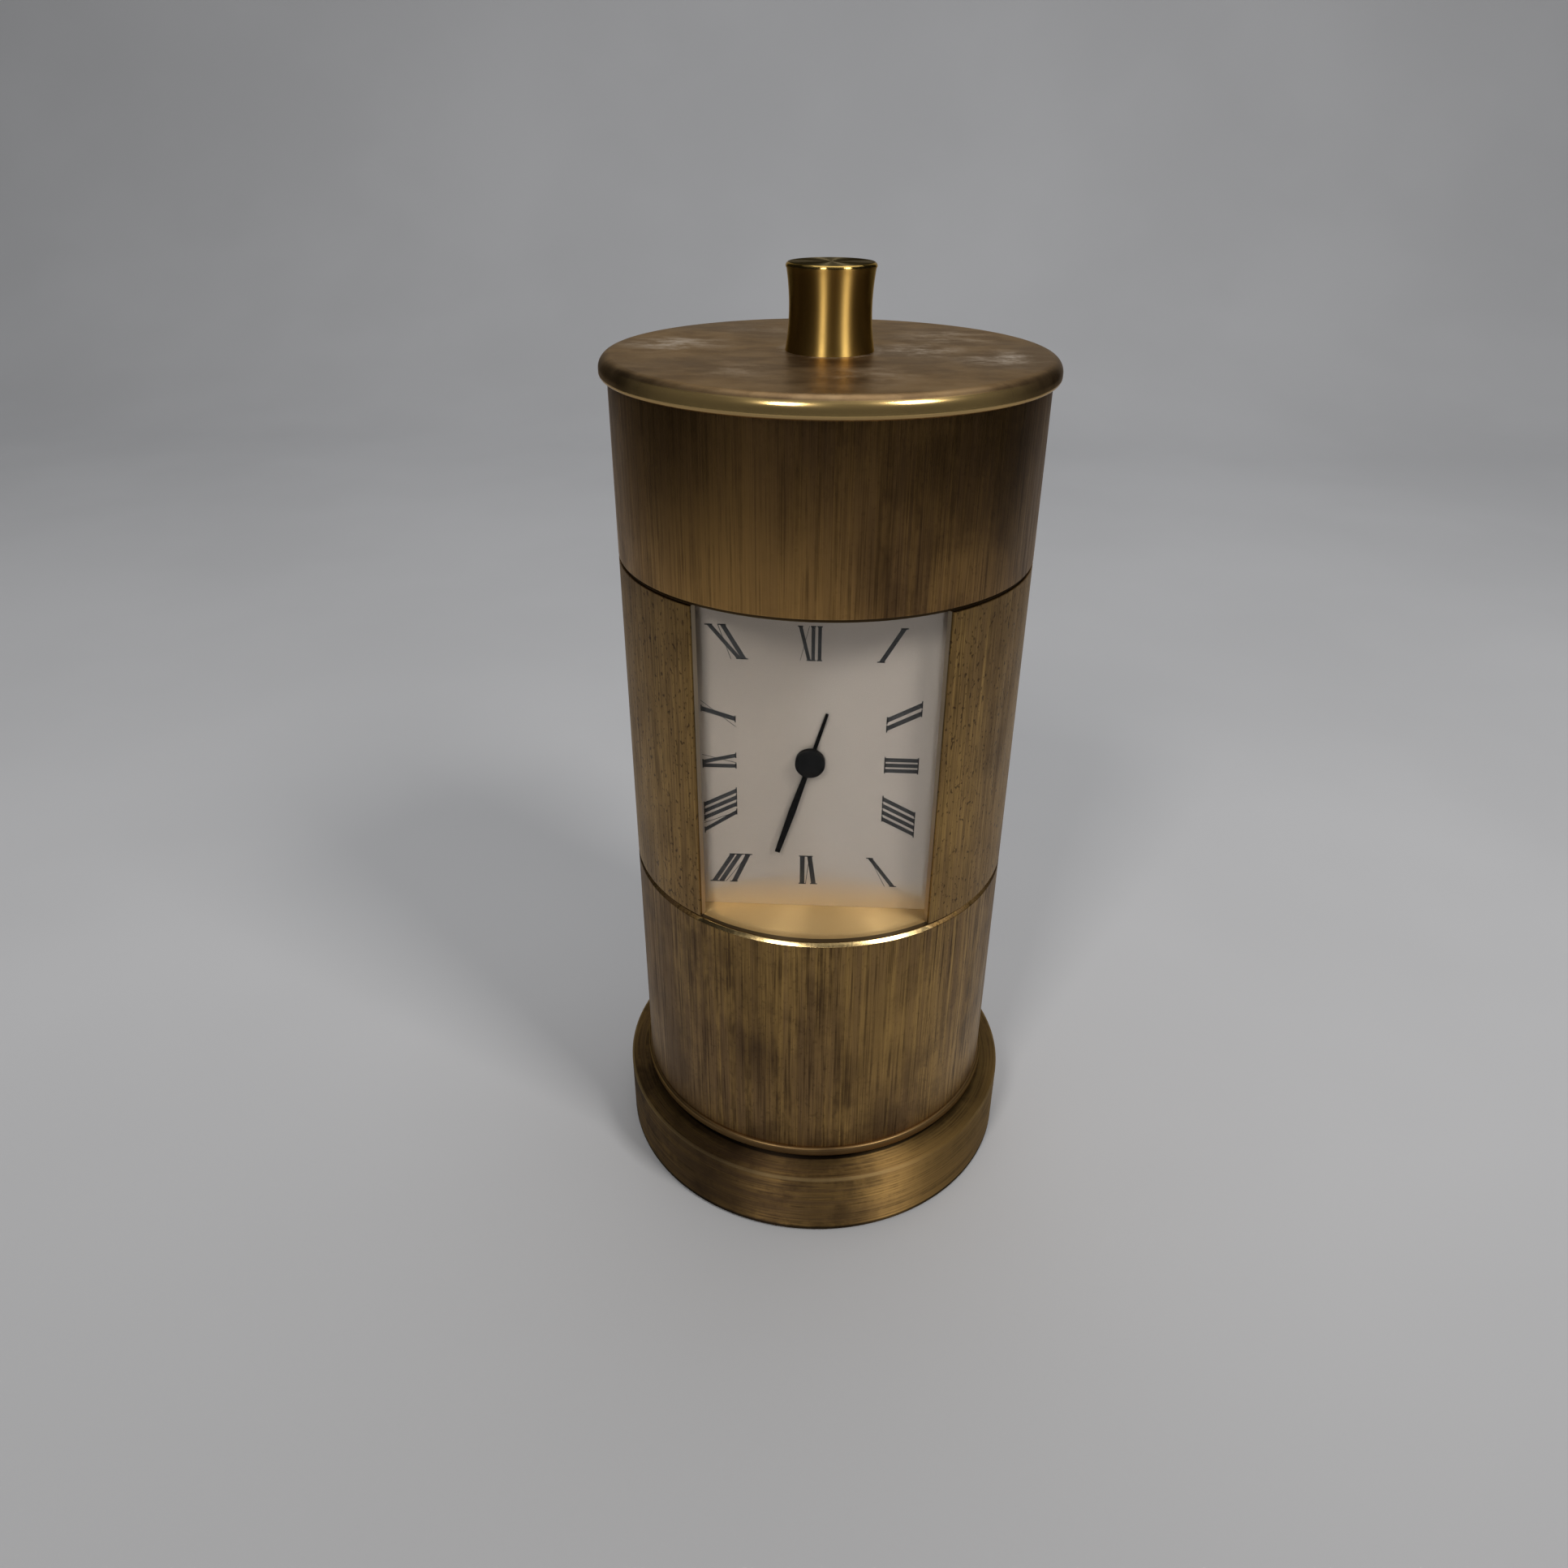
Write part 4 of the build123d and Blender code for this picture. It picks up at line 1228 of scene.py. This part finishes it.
@dataclass
class Lid:
    """Lid disc with a rounded edge, its locating ring and the waisted knob."""

    top_round: float = 2.1 * MM
    low_round: float = 0.8 * MM
    screw_hole: float = 2 * MM
    ring_wall: float = 1.5 * MM
    ring_plate: float = 1 * MM
    ring_flange: float = 10 * MM
    ring_edge: float = 0.15 * MM
    knob_foot: float = 7.22 * MM
    knob_waist: float = 6.62 * MM
    knob_edge: float = 0.6 * MM
    knob_steps: int = 14
    knob_circles: tuple[float, ...] = (0.82, 0.5)
    lathe: Lathe = Lathe()

    def build(self) -> None:
        """Build and dress every piece of the lid."""
        low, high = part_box("lid_disc")
        finish = LidBrass("lid_brass_dull", high.z, low.z + self.low_round).make()
        self.build_disc(finish)
        self.build_locating_ring(finish)
        self.build_knob()

    def build_disc(self, finish: Material) -> None:
        """Turn the lid disc.

        Args:
            finish: The lid's finish.
        """
        low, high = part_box("lid_disc")
        radius = high.x
        below = self.low_round
        above = self.top_round
        outline = [
            (self.screw_hole, low.z), *arc((radius - below, low.z + below), below, -90, 0, 8),
            *arc((radius - above, high.z - above), above, 0, 90, 10), (self.screw_hole, high.z),
        ]
        disc = self.lathe.ring("lid_turned", outline)
        smooth(disc)
        hand_over(disc, finish, "lid", "lid_brass", "lid_disc")

    def build_locating_ring(self, finish: Material) -> None:
        """Turn the ring that drops into the upper drum.

        Args:
            finish: The lid's finish.
        """
        low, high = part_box("lid_ring")
        outer = high.x
        inner = outer - self.ring_wall
        bore = outer - self.ring_flange
        plate = high.z - self.ring_plate
        outline = [
            (inner, low.z), (outer, low.z), (outer, high.z), (bore, high.z), (bore, plate), (inner, plate),
        ]
        ring = self.lathe.ring("lid_locating_ring", outline)
        soften(ring, self.ring_edge)
        hand_over(ring, finish, "lid", "lid_brass", "lid_ring")

    def build_knob(self) -> None:
        """Turn the waisted knob."""
        low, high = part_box("knob")
        top = high.x
        foot = self.knob_foot
        edge = self.knob_edge
        waisting = 4 * ((foot + top) / 2 - self.knob_waist)
        outline = []
        for step in range(self.knob_steps + 1):
            share = step / self.knob_steps
            radius = foot + (top - foot) * share - waisting * share * (1 - share)
            height = low.z + (high.z - low.z) * share
            if height < high.z - edge:
                outline.append((radius, height))
        outline += arc((top - edge, high.z - edge), edge, 0, 90)
        outline += [(top * circle, high.z) for circle in self.knob_circles]
        knob = self.lathe.solid("knob_turned", outline)
        smooth(knob)
        finish = PolishedBrass(
            "knob_brass", (0.6, 0.4, 0.12), roughness=0.4, brushing=0.99, line_pitch=0.16 * MM,
            tarnish_share=0.15, top=high.z,
        )
        hand_over(knob, finish.make(), "lid", "polished_brass", "knob")


class Side(Enum):
    """Row or column of the dial's print, with its clockwise turn from the top row in degrees."""

    TOP = 0
    RIGHT = 90
    BOTTOM = 180
    LEFT = 270


@dataclass(frozen=True)
class Numeral:
    """Roman numeral: letters, side, middle along it in mm, slant in degrees, spacing and weight."""

    letters: str
    side: Side
    middle: float
    slant: float
    spacing: float = 1.0
    weight: float = 1.0

    @property
    def lean(self) -> float:
        """Widening along the row that the slant brings."""
        return 1 / math.cos(math.radians(self.slant)) ** 2


@dataclass
class DialAssembly:
    """Dial plate, its printed numerals and the curved crystal."""

    print_drop: float = 0.4 * MM
    row_inner: float = 18.8 * MM
    row_outer: float = 24.85 * MM
    column_inner: float = 12.5 * MM
    column_outer: float = 18.27 * MM
    stroke: float = 0.73 * MM
    hairline: float = 0.1 * MM
    serif: float = 0.2 * MM
    brim: float = 1.5
    pitch: float = 1.04 * MM
    letter_gap: float = 1.3
    cross: float = 0.7
    point_shift: float = 0.1
    ink_height: float = 0.02 * MM
    pipe_hole: float = 2 * MM
    pipe_drill: float = 4 * MM
    crystal_wall: float = 1 * MM
    edge: float = 0.1 * MM
    numerals: tuple[Numeral, ...] = (
        Numeral("I", Side.TOP, 12.85, 30),
        Numeral("II", Side.RIGHT, -9.2, -28, 1.15, 1.1),
        Numeral("III", Side.RIGHT, 0.0, 0),
        Numeral("IIII", Side.RIGHT, 10.1, 28),
        Numeral("V", Side.BOTTOM, -12.7, -30),
        Numeral("VI", Side.BOTTOM, 0.4, 0, 1.0, 1.15),
        Numeral("VII", Side.BOTTOM, 13.7, 30, 0.88, 1.1),
        Numeral("VIII", Side.LEFT, -9.5, -28),
        Numeral("IX", Side.LEFT, -0.3, 0),
        Numeral("X", Side.LEFT, 8.9, 30),
        Numeral("XI", Side.TOP, -13.4, -30, 0.8),
        Numeral("XII", Side.TOP, 0.0, 0, 1.0, 0.8),
    )
    lathe: Lathe = Lathe()

    def build(self, hub: Vector) -> None:
        """Build and dress the plate, the print and the crystal.

        Args:
            hub: Middle of the hands on the dial's front.
        """
        self.build_plate(hub)
        ink = Coat("dial_ink", (0.012, 0.012, 0.013), (0.03, 0.03, 0.03), 0.45).make()
        for hour, numeral in enumerate(self.numerals, 1):
            self.print_numeral(f"numeral_{hour:02d}", numeral, hub, ink)
        self.build_crystal()

    def build_plate(self, hub: Vector) -> None:
        """Cut the flat plate and drill it for the hands' pipe.

        Args:
            hub: Middle of the hands on the dial's front.
        """
        low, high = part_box("dial_plate")
        plate = start_piece("dial_sheet", bpy.ops.mesh.primitive_cube_add, size=1)
        size = Matrix.Diagonal((*(high - low), 1))
        plate.matrix_world = Matrix.Translation((low + high) / 2) @ size
        apply_place(plate)
        drill(plate, hub, self.pipe_hole, self.pipe_drill)
        soften(plate, self.edge)
        hand_over(plate, SatinDial("dial_satin_white", low.z).make(), "case", "dial_white", "dial_plate")

    def strokes(self, numeral: Numeral) -> list[tuple[float, float, float]]:
        """Work out the strokes of a numeral.

        Args:
            numeral: The numeral.

        Returns:
            For each stroke its place along the inner line, along the outer line, and its width.
        """
        step = self.pitch * numeral.lean * numeral.spacing
        cross = self.cross * self.pitch
        places = [0.0]
        for before, letter in zip(numeral.letters, numeral.letters[1:]):
            places.append(places[-1] + (step if before == letter else self.letter_gap * step))
        middle = places[-1] / 2
        bars = []
        for letter, along in zip(numeral.letters, places):
            place = along - middle
            if letter == "I":
                bars.append((place, place, self.stroke))
            elif letter == "V":
                point = place + self.point_shift * step
                bars.append((point, place - cross, self.stroke))
                bars.append((point, place + cross, self.hairline))
            else:
                bars.append((place + cross, place - cross, self.stroke))
                bars.append((place - cross, place + cross, self.hairline))
        return bars

    def print_numeral(self, name: str, numeral: Numeral, hub: Vector, ink: Material) -> None:
        """Draw one numeral as thin raised ink.

        Args:
            name: Name of the piece.
            numeral: The numeral.
            hub: Middle of the hands on the dial's front.
            ink: The ink.
        """
        upright = numeral.side in (Side.TOP, Side.BOTTOM)
        inner = self.row_inner if upright else self.column_inner
        outer = self.row_outer if upright else self.column_outer
        half = math.tan(math.radians(numeral.slant)) * (outer - inner) / 2
        middle = numeral.middle * MM
        bolder = numeral.weight * math.sqrt(numeral.lean)
        piece = start_piece(name, bpy.ops.mesh.primitive_plane_add, size=1)
        open_mesh(piece)
        bpy.ops.mesh.delete(type="VERT")
        for start, end, width in self.strokes(numeral):
            first = middle + start - half
            last = middle + end + half
            self.bar(piece, (first, inner), (last, outer), width * bolder)
            if width == self.stroke:
                brim = self.brim * width * bolder
                self.bar(piece, (first, inner), (first, inner + self.serif), brim)
                self.bar(piece, (last, outer - self.serif), (last, outer), brim)
        thicken(self.ink_height)
        close_mesh(piece, merge=False)
        stand_on_dial(piece, (hub.x, hub.y, hub.z - self.print_drop), math.radians(numeral.side.value))
        hand_over(piece, ink, "case", "hand_black")

    def bar(self, piece: Piece, start: tuple[float, float], end: tuple[float, float], width: float) -> None:
        """Add one stroke, cut level at both ends, to a numeral in edit mode.

        Args:
            piece: The numeral.
            start: Middle of its inner end.
            end: Middle of its outer end.
            width: Width along the row.
        """
        middle = (start[0], (start[1] + end[1]) / 2, 0)
        bpy.ops.mesh.primitive_plane_add(size=1, location=middle)
        bpy.ops.transform.resize(value=(width, end[1] - start[1], 1), center_override=middle)
        mesh = bmesh.from_edit_mesh(piece.data)
        for point in mesh.verts:
            point.select_set(point.select and point.co.y > middle[1])
        mesh.select_flush(False)
        bmesh.update_edit_mesh(piece.data)
        bpy.ops.transform.translate(value=(end[0] - start[0], 0, 0))

    def build_crystal(self) -> None:
        """Spin the curved crystal behind the window."""
        low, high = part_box("crystal")
        outer = -low.y
        half = math.asin(high.x / outer)
        spread = Spread(-QUARTER_TURN - half, 2 * half)
        radii = (outer - self.crystal_wall, outer)
        crystal = self.lathe.sector("curved_crystal", radii, (low.z, high.z), spread)
        soften(crystal, self.edge)
        hand_over(crystal, ClearCrystal("clear_acrylic").make(), "case", "clear_crystal", "crystal")


@dataclass(frozen=True)
class Blade:
    """Hand's blade, with the boss edges that it grows from and how it widens to its waist and its tip."""

    node: str
    body: str
    length: float
    edges: int
    angle: float
    waist: float
    tip: float


@dataclass
class Hands:
    """Hour hand, minute hand and the round cap on them."""

    boss: float = 2.55 * MM
    boss_steps: int = 72
    minute_angle: float = 197.0
    belly: float = 0.45
    root_slack: float = 1.02
    blade_edge: float = 0.06 * MM
    cap_round: float = 0.25 * MM
    cap_step: float = 0.55
    cap_button: float = 0.64
    cap_flat: float = 0.5
    cap_dip: float = 0.05 * MM
    black: Triple = (0.002, 0.002, 0.002)
    lathe: Lathe = Lathe(64)

    def build(self, hub: Vector) -> None:
        """Build and dress both hands and the cap.

        Args:
            hub: Middle of the hands on the dial's front.
        """
        satin = Coat(
            "hand_satin_black", self.black, (0.004, 0.0035, 0.003), 0.3, depth=0.002 * MM, gloss=0.04
        ).make()
        hour = Blade(
            "hour_hand", "hour_works", length=9.5 * MM, edges=3, angle=self.minute_angle / 12,
            waist=0.95, tip=0.8,
        )
        minute = Blade(
            "minute_hand", "minute_works", length=18.8 * MM, edges=4, angle=self.minute_angle,
            waist=1.38, tip=0.74,
        )
        for blade in (hour, minute):
            self.build_hand(blade, hub, satin)
        glossy = Coat("hand_cap_black", self.black, (0.003, 0.003, 0.003), 0.16, gloss=0.12).make()
        self.build_cap(hub, glossy)

    def build_hand(self, blade: Blade, hub: Vector, finish: Material) -> None:
        """Draw a hand from its round boss.

        Args:
            blade: The hand's measures.
            hub: Middle of the hands on the dial's front.
            finish: The hands' finish.
        """
        low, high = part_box(blade.node)
        half_step = math.pi / self.boss_steps
        hand = start_piece(
            blade.node + "_blade", bpy.ops.mesh.primitive_circle_add, vertices=self.boss_steps,
            radius=self.boss, fill_type="NGON", rotation=(0, 0, half_step * (blade.edges % 2)),
        )
        apply_place(hand)
        open_mesh(hand)
        root = self.root_slack * self.boss * math.sin(blade.edges * half_step)
        select_points(hand, lambda point: point.y > 0 and abs(point.x) < root)
        middle = self.boss + self.belly * (blade.length - self.boss)
        bpy.ops.mesh.extrude_edges_move(TRANSFORM_OT_translate={"value": (0, middle - self.boss, 0)})
        bpy.ops.transform.resize(value=(blade.waist, 0, 1), center_override=(0, middle, 0))
        bpy.ops.mesh.extrude_edges_move(TRANSFORM_OT_translate={"value": (0, blade.length - middle, 0)})
        bpy.ops.transform.resize(value=(blade.tip, 1, 1), center_override=(0, blade.length, 0))
        thicken(high.y - low.y)
        close_mesh(hand)
        soften(hand, self.blade_edge)
        stand_on_dial(hand, (hub.x, high.y, hub.z), math.radians(blade.angle))
        hand_over(hand, finish, blade.body, "hand_black", blade.node)

    def build_cap(self, hub: Vector, finish: Material) -> None:
        """Turn the cap, a button with a step.

        Args:
            hub: Middle of the hands on the dial's front.
            finish: The cap's finish.
        """
        low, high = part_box("hand_cap")
        height = high.y - low.y
        radius = (high.x - low.x) / 2
        bend = self.cap_round
        step = self.cap_step * height
        button = self.cap_button * radius
        outline = [
            (radius, 0), *arc((radius - bend, step - bend), bend, 0, 90), (button + bend, step),
            *arc((button - bend, height - bend), bend, 0, 90),
            (self.cap_flat * button, height - self.cap_dip),
        ]
        cap = self.lathe.solid("hand_cap_turned", outline)
        smooth(cap)
        stand_on_dial(cap, (hub.x, high.y, hub.z))
        hand_over(cap, finish, "minute_works", "hand_black", "hand_cap")


@dataclass
class SettingKnob:
    """Fluted knob at the back that sets the hands."""

    radius: float = 5 * MM
    flutes: int = 20
    flute_steps: int = 8
    flute_depth: float = 0.4 * MM
    flute_reaches: tuple[float, float] = (0.7, 0.3)
    edge: float = 0.3 * MM

    def build(self) -> None:
        """Shape the flutes on a circle, pull it to its thickness and dress it."""
        low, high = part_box("setting_knob")
        middle = (low + high) / 2
        knob = start_piece(
            "setting_knob_fluted", bpy.ops.mesh.primitive_circle_add,
            vertices=self.flutes * self.flute_steps, radius=self.radius, fill_type="NGON",
        )
        open_mesh(knob)
        share = 1 - self.flute_depth / len(self.flute_reaches) / self.radius
        for reach in self.flute_reaches:
            select_points(knob, lambda point, reach=reach: self.in_flute(point, reach))
            bpy.ops.transform.resize(value=(share, share, 1), center_override=(0, 0, 0))
        thicken(high.y - low.y)
        close_mesh(knob)
        soften(knob, self.edge)
        stand_on_dial(knob, (middle.x, high.y, middle.z))
        finish = PolishedBrass("setting_knob_brass", roughness=0.24)
        hand_over(knob, finish.make(), "setting_works", "polished_brass", "setting_knob")

    def in_flute(self, point: Vector, reach: float) -> bool:
        """Tell whether a rim point lies within a share of its flute's half width.

        Args:
            point: The point.
            reach: The share.

        Returns:
            Whether it does.
        """
        step = math.tau / self.flutes
        turn = math.atan2(point.y, point.x) / step
        return abs(turn - round(turn)) < reach / 2


class Works:
    """Finishes of the movement, battery and fixings, which keep their frame meshes."""

    def finishes(self) -> dict[str, Material]:
        """Mix one finish for each slot of the record that has such pieces.

        Returns:
            The finishes by slot.
        """
        mixed = {
            "movement_brass": PolishedBrass("movement_brass_satin", (0.72, 0.54, 0.24), roughness=0.26),
            "steel": Coat(
                "bright_steel", (0.58, 0.58, 0.59), (0.48, 0.48, 0.49), 0.26, 1.0, depth=0.002 * MM
            ),
            "black_plastic": Coat(
                "matte_black_plastic", (0.022, 0.022, 0.024), (0.034, 0.034, 0.036), 0.55
            ),
            "red_plastic": Coat("red_insulation", (0.5, 0.03, 0.022), (0.38, 0.02, 0.016), 0.5),
            "board_green": Coat("board_resin_green", (0.03, 0.2, 0.07), (0.02, 0.14, 0.05), 0.4),
            "cell_wrap": Coat("cell_wrap_dark", (0.05, 0.05, 0.056), (0.08, 0.075, 0.07), 0.24),
            "pad_rubber": Coat("pad_black_rubber", (0.02, 0.02, 0.02), (0.035, 0.034, 0.033), 0.8),
        }
        return {slot: finish.make() for slot, finish in mixed.items()}

    def build(self, frame: dict) -> None:
        """Dress the frame nodes whose slot in the record has one of these finishes.

        Args:
            frame: The loaded frame.
        """
        finishes = self.finishes()
        for part in frame["record"]["subparts"]:
            slot = part["material_slot"]
            if slot in finishes:
                dress_node(frame, part["node"], finishes[slot])


# Studio

@dataclass(frozen=True)
class SoftBox:
    """Soft oblong lamp aimed at the clock, with its heading and rise in degrees."""

    name: str
    heading: float
    rise: float
    distance: float
    width: float
    height: float
    power: float
    colour: Triple = (1.0, 0.98, 0.95)

    def hang(self, target: Vector) -> None:
        """Add the lamp.

        Args:
            target: Point that it faces.
        """
        heading = math.radians(self.heading)
        rise = math.radians(self.rise)
        level = math.cos(rise)
        towards = Vector((level * math.sin(heading), -level * math.cos(heading), math.sin(rise)))
        lamp = bpy.data.lights.new(self.name, "AREA")
        lamp.shape = "RECTANGLE"
        lamp.size = self.width
        lamp.size_y = self.height
        lamp.energy = self.power
        lamp.color = self.colour
        holder = bpy.data.objects.new(self.name, lamp)
        bpy.context.scene.collection.objects.link(holder)
        holder.location = target + self.distance * towards
        holder.rotation_euler = (-towards).to_track_quat("-Z", "Y").to_euler()


@dataclass(frozen=True)
class Flag:
    """Black cloth that only reflections see, round the set but for an opening at the back in degrees."""

    name: str
    radius: float
    height: float
    opening: float
    thickness: float = 2 * MM
    lift: float = 1 * MM

    def stand(self, cloth: Material) -> None:
        """Spin the flag and hide it from all but reflections.

        Args:
            cloth: Its finish.
        """
        opening = math.radians(self.opening)
        spread = Spread(QUARTER_TURN + opening / 2, math.tau - opening)
        radii = (self.radius, self.radius + self.thickness)
        flag = Lathe().sector(self.name, radii, (self.lift, self.height), spread)
        flag.visible_camera = False
        flag.visible_diffuse = False
        flag.visible_transmission = False
        flag.visible_shadow = False
        dress(flag, cloth)


@dataclass
class Studio:
    """Pale sweep, soft lamps, black flags and the camera at the photograph's place."""

    camera_place: Triple = (2.92 * MM, -196.54 * MM, 192.3 * MM)
    camera_dip: float = 29.73
    camera_heading: float = 2.891
    camera_roll: float = 0.313
    lens: float = 26.396
    sensor: float = 36.0
    nearest: float = 10 * MM
    floor_half: float = 1.3
    sweep_back: float = 0.95
    sweep_height: float = 1.5
    sweep_round: float = 0.34
    sweep_steps: int = 24
    edge_slack: float = 10 * MM
    flags: tuple[Flag, ...] = (Flag("near_flag", 0.46, 0.3, 110), Flag("far_flag", 0.82, 1.1, 60))
    lamps: tuple[SoftBox, ...] = (
        SoftBox("lamp_right", 50, 46, 0.95, 0.2, 0.26, 3.2),
        SoftBox("lamp_left", -22, 42, 0.95, 0.16, 0.26, 2.5),
        SoftBox("lamp_overhead", 165, 72, 1.1, 0.9, 0.9, 3.6, (0.97, 0.985, 1.0)),
    )
    aim_height: float = 90 * MM
    room_colour: Triple = (0.93, 0.96, 1.0)
    room_strength: float = 0.16

    def build(self) -> None:
        """Set up the floor, the light and the camera."""
        self.build_sweep()
        self.build_flags()
        self.build_light()
        self.build_camera()

    def build_flags(self) -> None:
        """Stand the black flags round the set, as brass is lit in a studio."""
        black = (0.012, 0.012, 0.012)
        cloth = Coat("black_flag_cloth", black, (0.018, 0.018, 0.018), 0.9, gloss=0.1).make()
        for flag in self.flags:
            flag.stand(cloth)

    def build_sweep(self) -> None:
        """Pull a floor up into a curved backdrop."""
        sweep = start_piece("studio_sweep", bpy.ops.mesh.primitive_plane_add, size=1)
        open_mesh(sweep)
        width = 2 * self.floor_half
        bpy.ops.transform.resize(value=(width, width, 1), center_override=(0, 0, 0))
        bpy.ops.transform.translate(value=(0, self.sweep_back - self.floor_half, 0))
        back = self.sweep_back - self.edge_slack
        select_points(sweep, lambda point: point.y > back)
        bpy.ops.mesh.extrude_edges_move(TRANSFORM_OT_translate={"value": (0, 0, self.sweep_height)})
        select_points(sweep, lambda point: point.y > back and point.z < self.edge_slack)
        bpy.ops.mesh.bevel(offset=self.sweep_round, segments=self.sweep_steps, affect="EDGES")
        close_mesh(sweep)
        smooth(sweep)
        dress(sweep, SweepGrey("studio_grey").make())

    def build_light(self) -> None:
        """Hang two front lamps and a wide overhead one in a grey room."""
        target = Vector((0, 0, self.aim_height))
        for lamp in self.lamps:
            lamp.hang(target)
        world = bpy.data.worlds.new("grey_room")
        bpy.context.scene.world = world
        world.use_nodes = True
        room = next(node for node in world.node_tree.nodes if node.type == "BACKGROUND")
        room.inputs["Color"].default_value = (*self.room_colour, 1.0)
        room.inputs["Strength"].default_value = self.room_strength

    def build_camera(self) -> None:
        """Place the camera where the photograph was taken."""
        lens = bpy.data.cameras.new("photo_camera")
        lens.lens = self.lens
        lens.sensor_width = self.sensor
        lens.clip_start = self.nearest
        camera = bpy.data.objects.new("photo_camera", lens)
        bpy.context.scene.collection.objects.link(camera)
        heading = Matrix.Rotation(math.radians(self.camera_heading), 4, "Z")
        dip = Matrix.Rotation(math.radians(90 - self.camera_dip), 4, "X")
        roll = Matrix.Rotation(math.radians(self.camera_roll), 4, "Z")
        camera.matrix_world = Matrix.Translation(self.camera_place) @ heading @ dip @ roll
        bpy.context.scene.camera = camera


def hub_on_dial() -> Vector:
    """Find the middle of the hands on the dial's front face.

    Returns:
        The point.
    """
    low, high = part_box("centre_arbor")
    middle = (low + high) / 2
    return Vector((middle.x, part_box("dial_plate")[0].y, middle.z))


def main() -> None:
    """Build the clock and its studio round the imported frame."""
    logging.basicConfig(level=logging.INFO, format="%(name)s %(message)s")
    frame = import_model()
    bpy.context.scene.view_settings.view_transform = "Standard"
    hub = hub_on_dial()
    Works().build(frame)
    CaseShell().build(frame)
    Lid().build()
    DialAssembly().build(hub)
    Hands().build(hub)
    SettingKnob().build()
    Studio().build()
    clear_bench()


if __name__ == "__main__":
    main()
